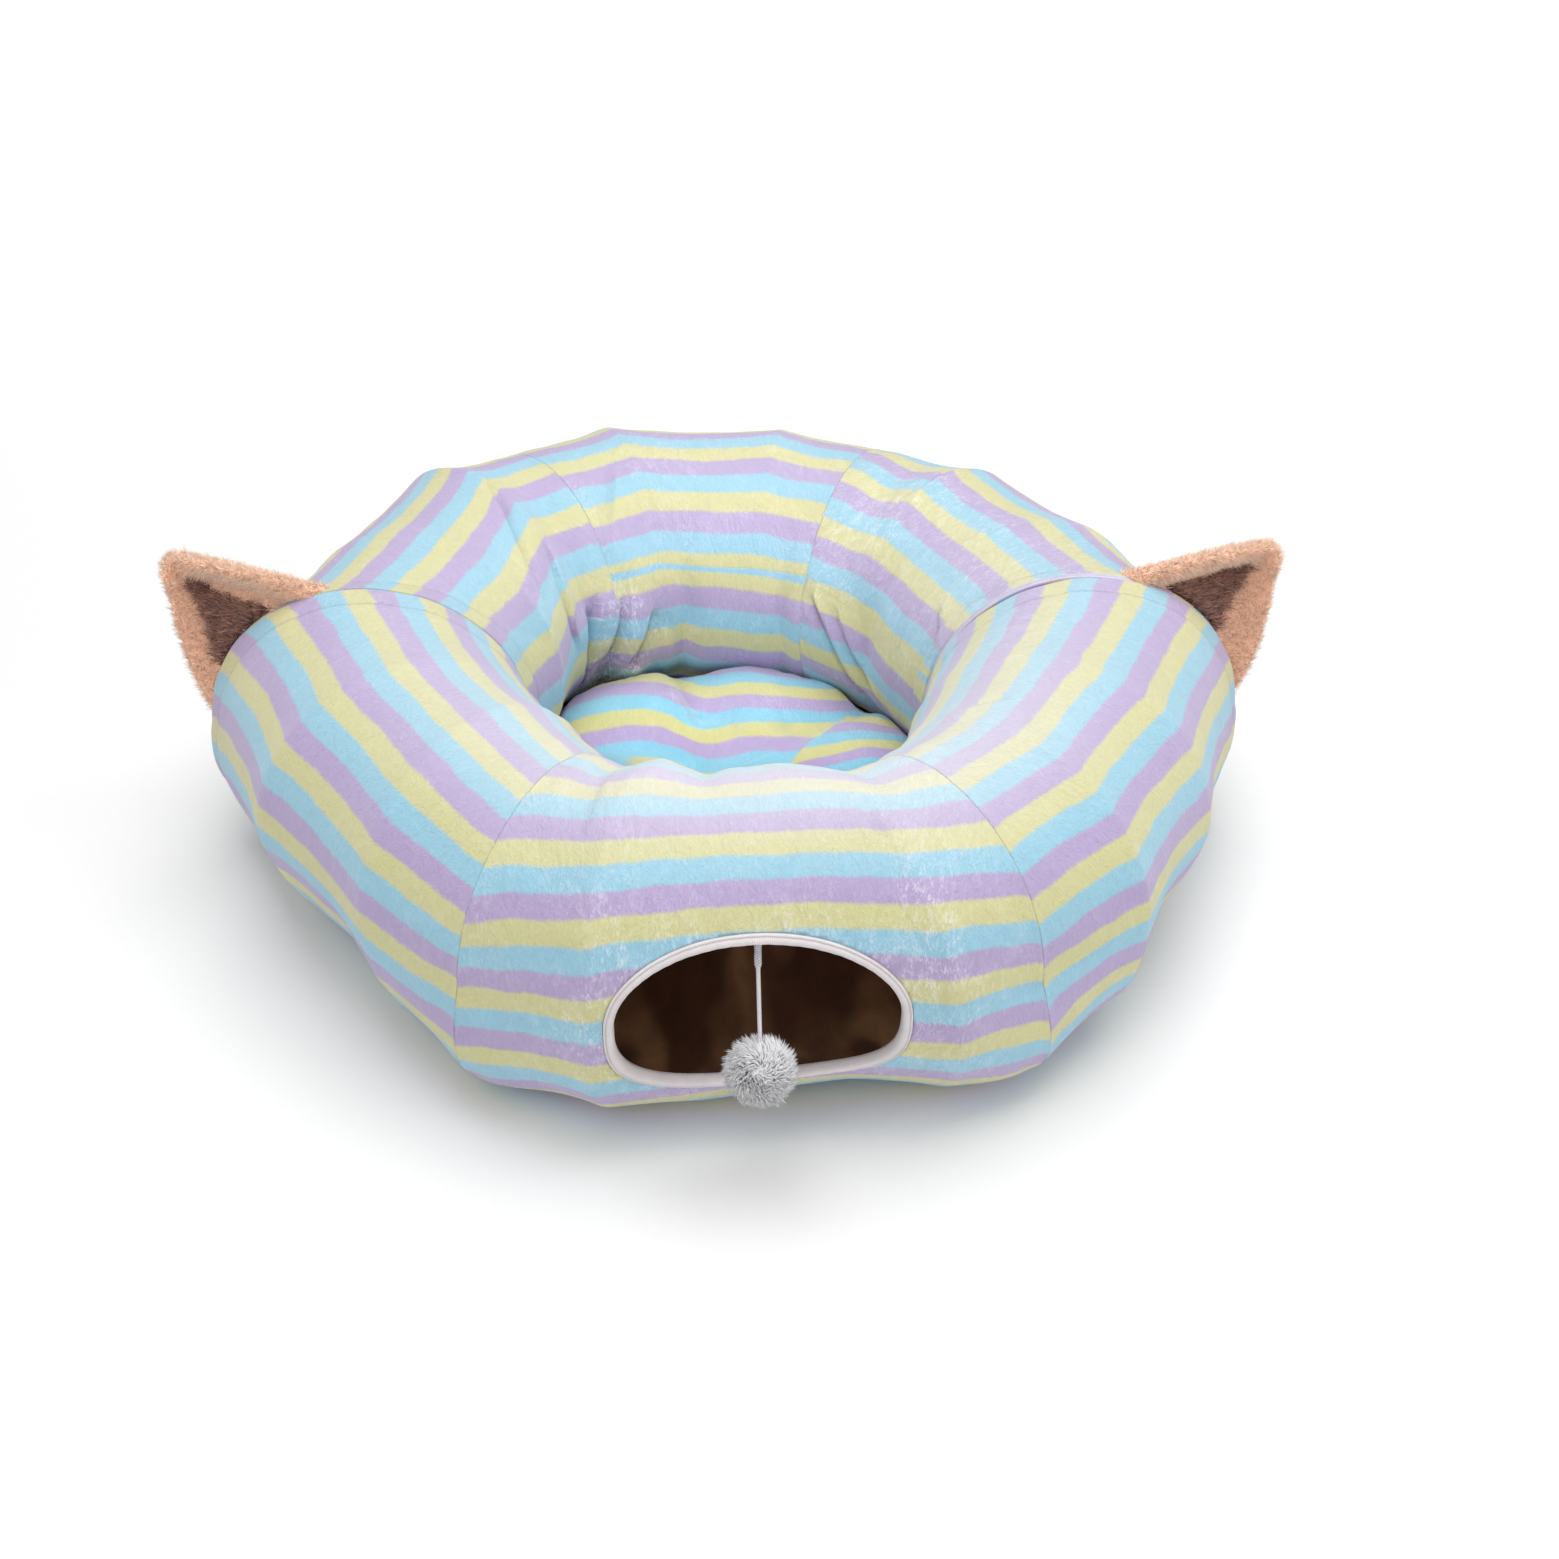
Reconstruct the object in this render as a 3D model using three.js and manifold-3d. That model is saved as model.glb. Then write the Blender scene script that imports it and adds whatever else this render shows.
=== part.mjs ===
// Ring-shaped plush tunnel bed for a cat, in millimetres, +Z up, standing on z = 0.
// Two half rings of three mitred panels each meet at the left and right. Spring hoops hold the cloth out,
// so the tube is straight from hoop to hoop. A round tufted cushion fills the well in the middle.
// Azimuth runs round the ring: 0 is the front (-Y), 90 is the right (+X), 180 is the back.
// The tube angle runs round the tube's section: 0 faces away from the ring's centre and 90 faces up.
import * as THREE from 'three';
import { mergeVertices } from 'three/addons/utils/BufferGeometryUtils.js';
import Module from 'manifold-3d';

// Cloth
const PLUSH_THICKNESS = 3;
const LINING_THICKNESS = 1;
const LINING_GAP = 0.8;
const SEWN_GAP = 0.3;

// Sections of the tube round the ring: at each hidden hoop and at each seam between two panels of a half.
// The reach is the ring's outer radius there, the kick is how far the lower outer part leans outwards,
// and the lean is how far the section's foot is ahead of its middle. Each stands a little into the floor,
// where the cloth is pressed flat.
const SECTIONS = [
  { azimuth: -90, reach: 403, width: 248, height: 231, kick: 12, lean: 0, seam: false },
  { azimuth: -65, reach: 380, width: 236, height: 229, kick: -8, lean: 0, seam: false },
  { azimuth: -43, reach: 377, width: 230, height: 230, kick: 6, lean: 6, seam: false },
  { azimuth: -29.5, reach: 393, width: 230, height: 225, kick: 12, lean: -8, seam: true },
  { azimuth: -15, reach: 398, width: 224, height: 230, kick: 9, lean: 4, seam: false },
  { azimuth: 20, reach: 402, width: 220, height: 228, kick: 6, lean: 14, seam: false },
  { azimuth: 30, reach: 405, width: 230, height: 225, kick: 20, lean: 10, seam: true },
  { azimuth: 43.5, reach: 404, width: 236, height: 228, kick: 4, lean: 8, seam: false },
  { azimuth: 63, reach: 386, width: 236, height: 230, kick: -8, lean: 0, seam: false },
  { azimuth: 90, reach: 403, width: 248, height: 231, kick: 12, lean: 0, seam: false },
  { azimuth: 113, reach: 382, width: 240, height: 225, kick: 0, lean: 0, seam: false },
  { azimuth: 134, reach: 381, width: 238, height: 228, kick: 0, lean: 0, seam: false },
  { azimuth: 153, reach: 378, width: 236, height: 224, kick: 0, lean: 0, seam: true },
  { azimuth: 169, reach: 385, width: 236, height: 225, kick: 0, lean: 0, seam: false },
  { azimuth: 197, reach: 399, width: 236, height: 227, kick: 0, lean: 0, seam: false },
  { azimuth: 213, reach: 389, width: 235, height: 227, kick: 0, lean: 0, seam: true },
  { azimuth: 226, reach: 401, width: 238, height: 230, kick: 0, lean: 0, seam: false },
  { azimuth: 248, reach: 380, width: 240, height: 225, kick: 0, lean: 0, seam: false },
  { azimuth: 270, reach: 403, width: 248, height: 231, kick: 12, lean: 0, seam: false },
];
const FLOOR_PRESS = 4;
const HOOP_SAG = { outer: 4, top: 4, inner: 3, bottom: 1 };

// The cloth dips into each seam, most at the middle of the outer wall
const SEAM_DIP = 3;
const PINCHES = [
  { azimuth: -29.5, depth: 8 },
  { azimuth: 30, depth: 8 },
  { azimuth: 153, depth: 2 },
  { azimuth: 213, depth: 3 },
];
const SEAM_HALF_WIDTH = 2.4;
const PINCH = { halfWidth: 6, tubeAngle: -4, tubeSpan: 34 };

// Main folds, as soft troughs (depth over 0) and ridges (depth under 0)
const FOLDS = [
  { azimuth: 190, tubeAngle: 190, along: 3.2, around: 38, depth: 8 },
  { azimuth: 205, tubeAngle: 185, along: 3.4, around: 42, depth: -6 },
  { azimuth: 221, tubeAngle: 150, along: 4.2, around: 40, depth: 7 },
  { azimuth: 143, tubeAngle: 100, along: 4, around: 26, depth: 7 },
  { azimuth: 160, tubeAngle: 190, along: 3.4, around: 40, depth: 6 },
  { azimuth: 126, tubeAngle: 170, along: 4, around: 34, depth: 5 },
  { azimuth: -52, tubeAngle: -30, along: 4.4, around: 32, depth: 6 },
  { azimuth: 53, tubeAngle: -28, along: 4.4, around: 32, depth: 5 },
];

// Grid of the cloth solids
const WIDEST_STEP = 9.8;
const CLOSEST_STEP = 2.4;
const SEAM_FLANK = 2.8;
const TUBE_STEPS = 32;
const LINING_TUBE_STEPS = 16;

// Peep hole in the front wall, seen square on: an oval that is fuller in its lower half
const HOLE = { x: 7, z: 116, halfWidth: 92, halfHeight: 52, upperPower: 2.15, lowerPower: 2.8 };
const HOLE_STEPS = 40;
const SEARCH_ROUNDS = 12;
const HOLE_CUT = { front: -420, back: -330 };
const BINDING = { width: 7, proud: 1.4, edgeProud: 0.4, depth: 8.4, clearance: 0.4 };

// Zips that join the halves, at azimuth -90 and 90
const ZIP = { halfWidth: 2.6, inset: 0.4, depth: 2.2 };

// Ears on the joints between the halves
const EAR_BASE_ANGLES = [4, 11.25, 22.5, 33.75, 45, 56.25, 67.5, 77];
const EAR = {
  openAtFoot: 0.16, openSpan: 0.74, tipHalfWidth: 9, tipRound: 7, rows: 7,
  halfThickness: 4.2, baseY: 12.8, cup: 19, rim: 11, seat: 0.5, bulge: 4,
};
const EAR_PAIR = [
  { word: 'left', side: -1, tipAngle: 43.5, tipReach: 197 },
  { word: 'right', side: 1, tipAngle: 42.5, tipReach: 193 },
];
const EAR_INNER = {
  outerBorder: 20, upperBorder: 36, lowRow: 0.03, highRow: 0.7,
  rows: 5, columns: 6, clearance: 1.3, thickness: 2.5,
};

// Cushion in the well
const CUSHION = {
  radius: 206, height: 65, topFrom: 30, clearance: 1.6, steps: 54,
  tuftX: -14, tuftY: 12, tuftWidth: 30, tuftDepth: 16, valleyEnd: 0.45,
};
const HALF_STEP = 180 / CUSHION.steps;
const WELL_STEP = 4;
const CUSHION_ROWS = [
  { share: 0.5, z: 0 },
  { share: 0.9, z: 0 },
  { share: 0.985, z: 8 },
  { share: 1, z: 20 },
  { share: 0.955, z: 34 },
  { share: 0.87, z: 47 },
  { share: 0.75, z: 57 },
  { share: 0.6, z: 63 },
  { share: 0.44, z: 65 },
  { share: 0.28, z: 65 },
  { share: 0.13, z: 65 },
];
const CUSHION_VALLEYS = [
  { azimuth: 188, depth: 13, width: 26, start: 0.1 },
  { azimuth: 131, depth: 15, width: 24, start: 0.25 },
  { azimuth: 250, depth: 11, width: 26, start: 0.1 },
  { azimuth: 310, depth: 12, width: 26, start: 0.1 },
  { azimuth: 12, depth: 12, width: 26, start: 0.1 },
  { azimuth: 75, depth: 11, width: 26, start: 0.1 },
];

// Toy that hangs in the hole
const CORD = { radius: 1.3, sides: 8, steps: 11, drop: 9, outward: 2, slack: 2, lead: 8 };
const POMPOM = {
  y: -404, z: 97, lean: 19, core: 14, root: 11, reach: 24.5, shoulder: 21.5,
  lockWidth: 3.1, rootWidth: 1.7, locks: 80, bareCone: 24,
};

const COLOURS = {
  plush: 0xbcd9e4, lining: 0x5a3a2c, binding: 0xe6dfe0, zip: 0xdcd8ee, ear: 0xc49a7c, earInner: 0x6e4d47,
  cushion: 0xc9c0dc, cord: 0xe4e1e6, pompom: 0xdedbdf,
};

const JOIN = SECTIONS[0];

const wasm = await Module();
wasm.setup();

const radians = THREE.MathUtils.degToRad;
const degrees = THREE.MathUtils.radToDeg;
const bed = new THREE.Group();

function addPiece(name, geometry, colour, roughness = 0.95) {
  const material = new THREE.MeshStandardMaterial({ color: colour, roughness, metalness: 0 });
  const mesh = new THREE.Mesh(geometry, material);
  mesh.name = name;
  bed.add(mesh);
}

function bell(distance, width) {
  return Math.exp(-((distance / width) ** 2));
}

function turnBetween(a, b) {
  return ((((a - b) % 360) + 540) % 360) - 180;
}

// The tube's surface

function sectionCentre(section) {
  const turn = radians(section.azimuth);
  const radius = section.reach - section.width / 2;
  return new THREE.Vector3(
    radius * Math.sin(turn),
    -radius * Math.cos(turn),
    section.height / 2 - FLOOR_PRESS,
  );
}

function sectionPoint(section, tubeAngle, inset) {
  const turn = radians(section.azimuth);
  const c = Math.cos(radians(tubeAngle));
  const s = Math.sin(radians(tubeAngle));
  const kick = 2 * section.kick * Math.max(0, c) * Math.max(0, -s);
  const radius = section.reach - section.width / 2 + (section.width / 2 - inset) * c + kick;
  const ahead = -section.lean * s;
  return new THREE.Vector3(
    radius * Math.sin(turn) + ahead * Math.cos(turn),
    -radius * Math.cos(turn) + ahead * Math.sin(turn),
    section.height / 2 - FLOOR_PRESS + (section.height / 2 - inset) * s,
  );
}

function spanAt(azimuth) {
  let first = 0;
  while (first < SECTIONS.length - 2 && azimuth > SECTIONS[first + 1].azimuth) first += 1;
  const [a, b] = [SECTIONS[first], SECTIONS[first + 1]];
  return { a, b, share: (azimuth - a.azimuth) / (b.azimuth - a.azimuth) };
}

function sagBetweenSections(share, tubeAngle) {
  const c = Math.cos(radians(tubeAngle));
  const s = Math.sin(radians(tubeAngle));
  const depth = HOOP_SAG.outer * Math.max(0, c) ** 2 + HOOP_SAG.inner * Math.max(0, -c) ** 2
    + HOOP_SAG.top * Math.max(0, s) ** 2 + HOOP_SAG.bottom * Math.max(0, -s) ** 2;
  return depth * 4 * share * (1 - share);
}

function seamDip(azimuth, tubeAngle) {
  let depth = 0;
  const level = bell(turnBetween(tubeAngle, PINCH.tubeAngle), PINCH.tubeSpan);
  for (const pinch of PINCHES) {
    const away = azimuth - pinch.azimuth;
    depth += SEAM_DIP * bell(away, SEAM_HALF_WIDTH) + pinch.depth * bell(away, PINCH.halfWidth) * level;
  }
  return depth;
}

function foldDepth(azimuth, tubeAngle) {
  let depth = 0;
  for (const fold of FOLDS) {
    const round = bell(turnBetween(tubeAngle, fold.tubeAngle), fold.around);
    depth += fold.depth * bell(azimuth - fold.azimuth, fold.along) * round;
  }
  return depth;
}

function tubePoint(azimuth, tubeAngle, inset) {
  const { a, b, share } = spanAt(azimuth);
  const point = sectionPoint(a, tubeAngle, inset).lerp(sectionPoint(b, tubeAngle, inset), share);
  const centre = sectionCentre(a).lerp(sectionCentre(b), share);
  const inwards = centre.sub(point).normalize();
  const depth = sagBetweenSections(share, tubeAngle) + seamDip(azimuth, tubeAngle) + foldDepth(azimuth, tubeAngle);
  point.addScaledVector(inwards, depth);
  point.z = Math.max(point.z, inset);
  return point;
}

// The azimuths of the solids' grid: each section, each seam's flanks, each fold, and even steps between

function stationCandidates() {
  const found = SECTIONS.map((section) => section.azimuth);
  for (const section of SECTIONS) {
    if (section.seam) found.push(section.azimuth - SEAM_FLANK, section.azimuth + SEAM_FLANK);
  }
  for (const fold of FOLDS) found.push(fold.azimuth, fold.azimuth - fold.along, fold.azimuth + fold.along);
  for (let k = 0; k < SECTIONS.length - 1; k += 1) {
    const width = SECTIONS[k + 1].azimuth - SECTIONS[k].azimuth;
    const steps = Math.ceil(width / WIDEST_STEP);
    for (let i = 1; i < steps; i += 1) found.push(SECTIONS[k].azimuth + (i * width) / steps);
  }
  return found;
}

function stationsBetween(from, to) {
  const kept = [from, to];
  for (const azimuth of stationCandidates()) {
    const within = azimuth > from && azimuth < to;
    if (within && kept.every((other) => Math.abs(other - azimuth) > CLOSEST_STEP)) kept.push(azimuth);
  }
  return kept.sort((a, b) => a - b);
}

// A sleeve open at both ends, from rings of points: rings[i][j] outside and inner[i][j] inside

function sleeveGeometry(outer, inner) {
  const rows = outer.length;
  const columns = outer[0].length;
  const points = [...outer.flat(), ...inner.flat()];
  const faces = [];
  const out = (i, j) => i * columns + (j % columns);
  const inn = (i, j) => rows * columns + out(i, j);
  const quad = (a, b, c, d) => faces.push(a, b, c, a, c, d);
  for (let j = 0; j < columns; j += 1) {
    for (let i = 0; i < rows - 1; i += 1) {
      quad(out(i, j), out(i + 1, j), out(i + 1, j + 1), out(i, j + 1));
      quad(inn(i, j), inn(i, j + 1), inn(i + 1, j + 1), inn(i + 1, j));
    }
    quad(out(0, j), out(0, j + 1), inn(0, j + 1), inn(0, j));
    quad(out(rows - 1, j), inn(rows - 1, j), inn(rows - 1, j + 1), out(rows - 1, j + 1));
  }
  return geometryOf(points, faces);
}

function geometryOf(points, faces) {
  const geometry = new THREE.BufferGeometry();
  geometry.setAttribute('position', new THREE.Float32BufferAttribute(points.flatMap((p) => p.toArray()), 3));
  geometry.setIndex(faces);
  return geometry;
}

function tubeRing(azimuth, steps, inset, ahead = 0) {
  const along = new THREE.Vector3(Math.cos(radians(azimuth)), Math.sin(radians(azimuth)), 0);
  return Array.from(
    { length: steps },
    (_, j) => tubePoint(azimuth, (j * 360) / steps, inset).addScaledVector(along, ahead),
  );
}

// Cloth from one azimuth to another, with each end drawn back from the cut by a little

function clothSleeve(span, steps, inset, thickness) {
  const azimuths = stationsBetween(span.from, span.to);
  const rings = (depth) => azimuths.map((azimuth) => {
    const ahead = azimuth === span.from ? span.fromGap : azimuth === span.to ? -span.toGap : 0;
    return tubeRing(azimuth, steps, depth, ahead);
  });
  return sleeveGeometry(rings(inset), rings(inset + thickness));
}

// Cutting with solids

function solidOf(geometry) {
  const bare = geometry.clone();
  bare.deleteAttribute('normal');
  bare.deleteAttribute('uv');
  const merged = mergeVertices(bare, 1e-4);
  return new wasm.Manifold(new wasm.Mesh({
    numProp: 3,
    vertProperties: new Float32Array(merged.attributes.position.array),
    triVerts: new Uint32Array(merged.index.array),
  }));
}

function geometryFrom(solid) {
  const mesh = solid.getMesh();
  const geometry = new THREE.BufferGeometry();
  geometry.setAttribute('position', new THREE.BufferAttribute(new Float32Array(mesh.vertProperties), 3));
  geometry.setIndex(new THREE.BufferAttribute(new Uint32Array(mesh.triVerts), 1));
  return geometry;
}

// Panels

const JOIN_GAP = ZIP.halfWidth + SEWN_GAP;
const SEAM_GAP = SEWN_GAP / 2 + 0.05;
const PANELS = [
  { name: 'panel_front_left', from: -90, to: -29.5, fromGap: JOIN_GAP, toGap: SEAM_GAP, holed: false },
  { name: 'panel_front_middle', from: -29.5, to: 30, fromGap: SEAM_GAP, toGap: SEAM_GAP, holed: true },
  { name: 'panel_front_right', from: 30, to: 90, fromGap: SEAM_GAP, toGap: JOIN_GAP, holed: false },
  { name: 'panel_back_right', from: 90, to: 153, fromGap: JOIN_GAP, toGap: SEAM_GAP, holed: false },
  { name: 'panel_back_middle', from: 153, to: 213, fromGap: SEAM_GAP, toGap: SEAM_GAP, holed: false },
  { name: 'panel_back_left', from: 213, to: 270, fromGap: SEAM_GAP, toGap: JOIN_GAP, holed: false },
];

const PANEL_STATIONS = PANELS.map((panel) => stationsBetween(panel.from, panel.to));

// A point on a panel's cloth, which is straight between two stations of its grid

function clothPoint(azimuth, tubeAngle, inset) {
  const azimuths = PANEL_STATIONS[PANELS.findIndex((panel) => azimuth <= panel.to)];
  const next = Math.max(1, azimuths.findIndex((station) => station >= azimuth));
  const [a, b] = [azimuths[next - 1], azimuths[next]];
  return tubePoint(a, tubeAngle, inset).lerp(tubePoint(b, tubeAngle, inset), (azimuth - a) / (b - a));
}

// The hole's outline, grown by an offset, in the X-Z plane

function holeOutline(offset) {
  return Array.from({ length: HOLE_STEPS }, (_, k) => {
    const turn = (2 * Math.PI * k) / HOLE_STEPS;
    const c = Math.cos(turn);
    const s = Math.sin(turn);
    const power = s > 0 ? HOLE.upperPower : HOLE.lowerPower;
    const x = (HOLE.halfWidth + offset) * Math.sign(c) * Math.abs(c) ** (2 / power);
    const z = (HOLE.halfHeight + offset) * Math.sign(s) * Math.abs(s) ** (2 / power);
    return new THREE.Vector2(HOLE.x + x, HOLE.z + z);
  });
}

function holeCutter() {
  const outline = new THREE.Shape(holeOutline(BINDING.width + BINDING.clearance));
  const depth = HOLE_CUT.back - HOLE_CUT.front;
  const cutter = new THREE.ExtrudeGeometry(outline, { depth, bevelEnabled: false });
  cutter.rotateX(Math.PI / 2);
  cutter.translate(0, HOLE_CUT.back, 0);
  return solidOf(cutter);
}

// The point of the front wall's face that shows at x and z from the front

function wallPoint(x, z) {
  let azimuth = degrees(Math.asin(x / JOIN.reach));
  let tubeAngle = 0;
  let point = tubePoint(azimuth, tubeAngle, 0);
  for (let round = 0; round < SEARCH_ROUNDS; round += 1) {
    azimuth += degrees((x - point.x) / JOIN.reach);
    tubeAngle += degrees((z - point.z) / (JOIN.height / 2) / Math.cos(radians(tubeAngle)));
    point = tubePoint(azimuth, tubeAngle, 0);
  }
  return point;
}

function makePanels() {
  const cutter = holeCutter();
  for (const panel of PANELS) {
    const sleeve = clothSleeve(panel, TUBE_STEPS, 0, PLUSH_THICKNESS);
    const geometry = panel.holed ? geometryFrom(solidOf(sleeve).subtract(cutter)) : sleeve;
    addPiece(panel.name, geometry, COLOURS.plush);
  }
}

function makeLining() {
  const span = { from: -90, to: 90, fromGap: JOIN_GAP, toGap: JOIN_GAP };
  const sleeve = clothSleeve(span, LINING_TUBE_STEPS, PLUSH_THICKNESS + LINING_GAP, LINING_THICKNESS);
  addPiece('lining_front', geometryFrom(solidOf(sleeve).subtract(holeCutter())), COLOURS.lining);
}

// Binding round the hole: a band as deep as plush and lining together, a little proud of the plush

function makeBinding() {
  const rim = (offset, lift) => holeOutline(offset).map((p) => {
    const point = wallPoint(p.x, p.y);
    return new THREE.Vector3(p.x, point.y - lift, p.y);
  });
  const half = BINDING.width / 2;
  const sections = [
    rim(0, BINDING.edgeProud),
    rim(half, BINDING.proud),
    rim(BINDING.width, BINDING.edgeProud),
    rim(BINDING.width, -BINDING.depth),
    rim(0, -BINDING.depth),
  ];
  const faces = [];
  const at = (ring, k) => (ring % sections.length) * HOLE_STEPS + (k % HOLE_STEPS);
  for (let ring = 0; ring < sections.length; ring += 1) {
    for (let k = 0; k < HOLE_STEPS; k += 1) {
      const [a, b, c, d] = [at(ring, k), at(ring + 1, k), at(ring + 1, k + 1), at(ring, k + 1)];
      faces.push(a, b, c, a, c, d);
    }
  }
  addPiece('hole_binding', geometryOf(sections.flat(), faces), COLOURS.binding, 0.8);
}

function makeZips() {
  for (const [name, azimuth] of [['zip_left', -90], ['zip_right', 90]]) {
    const rings = (inset) => [-ZIP.halfWidth, 0, ZIP.halfWidth].map(
      (ahead) => tubeRing(azimuth, TUBE_STEPS, inset, ahead),
    );
    addPiece(name, sleeveGeometry(rings(ZIP.inset), rings(ZIP.inset + ZIP.depth)), COLOURS.zip, 0.6);
  }
}

// Ears: cupped triangular pads that stand on the hoop between the halves.
// A point of the ear's foot, on the tube at a share of the foot's length and a distance behind the joint

function earFoot(side, share, behind) {
  const beyondJoin = Math.sign(behind) * Math.max(0, Math.abs(behind) - ZIP.halfWidth - SEWN_GAP);
  const turn = degrees(Math.asin(beyondJoin / JOIN.reach));
  const azimuth = side > 0 || behind < 0 ? side * (90 + turn) : 270 - turn;
  const column = share * (EAR_BASE_ANGLES.length - 1);
  const low = Math.min(EAR_BASE_ANGLES.length - 2, Math.floor(column));
  const tubeAngle = THREE.MathUtils.lerp(EAR_BASE_ANGLES[low], EAR_BASE_ANGLES[low + 1], column - low);
  const step = 360 / TUBE_STEPS;
  const start = Math.floor(tubeAngle / step) * step;
  const point = clothPoint(azimuth, start, -EAR.seat);
  point.lerp(clothPoint(azimuth, start + step, -EAR.seat), (tubeAngle - start) / step);
  return new THREE.Vector2(Math.abs(point.x), point.z);
}

function earShape({ side, tipAngle, tipReach }) {
  const centre = sectionCentre(JOIN);
  const tipTurn = radians(tipAngle);
  const upwards = new THREE.Vector2(Math.cos(tipTurn), Math.sin(tipTurn));
  const across = new THREE.Vector2(-upwards.y, upwards.x);
  const tip = new THREE.Vector2(Math.abs(centre.x), centre.z).addScaledVector(upwards, tipReach);
  return (s, t, forwards) => {
    const edge = 2 * s - 1;
    const open = Math.sin(Math.PI * (EAR.openAtFoot + EAR.openSpan * t));
    const y = EAR.baseY + open * (EAR.cup * (1 - edge * edge) - EAR.rim * edge * edge) - forwards;
    const top = tip.clone().addScaledVector(across, EAR.tipHalfWidth * edge);
    top.addScaledVector(upwards, -EAR.tipRound * edge * edge);
    const p = earFoot(side, s, y).lerp(top, t).addScaledVector(across, EAR.bulge * edge * Math.sin(Math.PI * t));
    return new THREE.Vector3(side * p.x, y, p.y);
  };
}

// A closed pad from a front and a back grid of points, with the rim between them

function padGeometry(rows, columns, frontPoint, backPoint, mirrored) {
  const points = [];
  for (const pointAt of [frontPoint, backPoint]) {
    for (let i = 0; i <= rows; i += 1) {
      for (let j = 0; j <= columns; j += 1) points.push(pointAt(i / rows, j / columns));
    }
  }
  const front = (i, j) => i * (columns + 1) + j;
  const back = (i, j) => (rows + 1) * (columns + 1) + front(i, j);
  const faces = [];
  const quad = (a, b, c, d) => (mirrored ? faces.push(a, c, b, a, d, c) : faces.push(a, b, c, a, c, d));
  for (let i = 0; i < rows; i += 1) {
    for (let j = 0; j < columns; j += 1) {
      quad(front(i, j), front(i + 1, j), front(i + 1, j + 1), front(i, j + 1));
      quad(back(i, j), back(i, j + 1), back(i + 1, j + 1), back(i + 1, j));
    }
  }
  for (let i = 0; i < rows; i += 1) {
    quad(front(i, 0), back(i, 0), back(i + 1, 0), front(i + 1, 0));
    quad(front(i, columns), front(i + 1, columns), back(i + 1, columns), back(i, columns));
  }
  for (let j = 0; j < columns; j += 1) {
    quad(front(0, j), front(0, j + 1), back(0, j + 1), back(0, j));
    quad(front(rows, j), back(rows, j), back(rows, j + 1), front(rows, j + 1));
  }
  return geometryOf(points, faces);
}

function makeEars() {
  const baseWidth = 2 * Math.sin(radians((EAR_BASE_ANGLES.at(-1) - EAR_BASE_ANGLES[0]) / 2)) * (JOIN.width / 2);
  const half = EAR.halfThickness;
  for (const ear of EAR_PAIR) {
    const shape = earShape(ear);
    const mirrored = ear.side < 0;
    const outer = padGeometry(
      EAR.rows,
      EAR_BASE_ANGLES.length - 1,
      (t, s) => shape(s, t, half),
      (t, s) => shape(s, t, -half),
      mirrored,
    );
    addPiece(`ear_${ear.word}_outer`, outer, COLOURS.ear);
    const narrowed = (s, t) => {
      const width = baseWidth * (1 - t) + 2 * EAR.tipHalfWidth * t;
      return (EAR_INNER.outerBorder + s * (width - EAR_INNER.outerBorder - EAR_INNER.upperBorder)) / width;
    };
    const rowAt = (t) => EAR_INNER.lowRow + t * (EAR_INNER.highRow - EAR_INNER.lowRow);
    const near = half + EAR_INNER.clearance;
    const inner = padGeometry(
      EAR_INNER.rows,
      EAR_INNER.columns,
      (t, s) => shape(narrowed(s, rowAt(t)), rowAt(t), near + EAR_INNER.thickness),
      (t, s) => shape(narrowed(s, rowAt(t)), rowAt(t), near),
      mirrored,
    );
    addPiece(`ear_${ear.word}_inner`, inner, COLOURS.earInner);
  }
}

// Cushion: a filled round pad with a tuft and radial valleys, pushed in where the tube is in its way

function wellRadius(azimuth, z) {
  const turn = azimuth > 270 ? azimuth - 360 : azimuth;
  let last = clothPoint(turn, 180, 0);
  for (let tubeAngle = 180 + WELL_STEP; tubeAngle < 270; tubeAngle += WELL_STEP) {
    const next = clothPoint(turn, tubeAngle, 0);
    if (next.z <= z) {
      const share = (last.z - z) / (last.z - next.z);
      return last.lerp(next, share).setZ(0).length();
    }
    last = next;
  }
  return last.setZ(0).length();
}

function cushionHeight(x, y, z) {
  const radius = Math.hypot(x, y);
  const azimuth = degrees(Math.atan2(x, -y));
  let depth = CUSHION.tuftDepth * bell(Math.hypot(x - CUSHION.tuftX, y - CUSHION.tuftY), CUSHION.tuftWidth);
  for (const valley of CUSHION_VALLEYS) {
    const turn = radians(turnBetween(azimuth, valley.azimuth));
    const away = Math.cos(turn) > 0 ? radius * Math.sin(turn) : radius;
    const reach = THREE.MathUtils.smoothstep(radius / CUSHION.radius, valley.start, CUSHION.valleyEnd);
    depth += valley.depth * reach * bell(away, valley.width);
  }
  return z - depth * (z / CUSHION.height);
}

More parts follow.
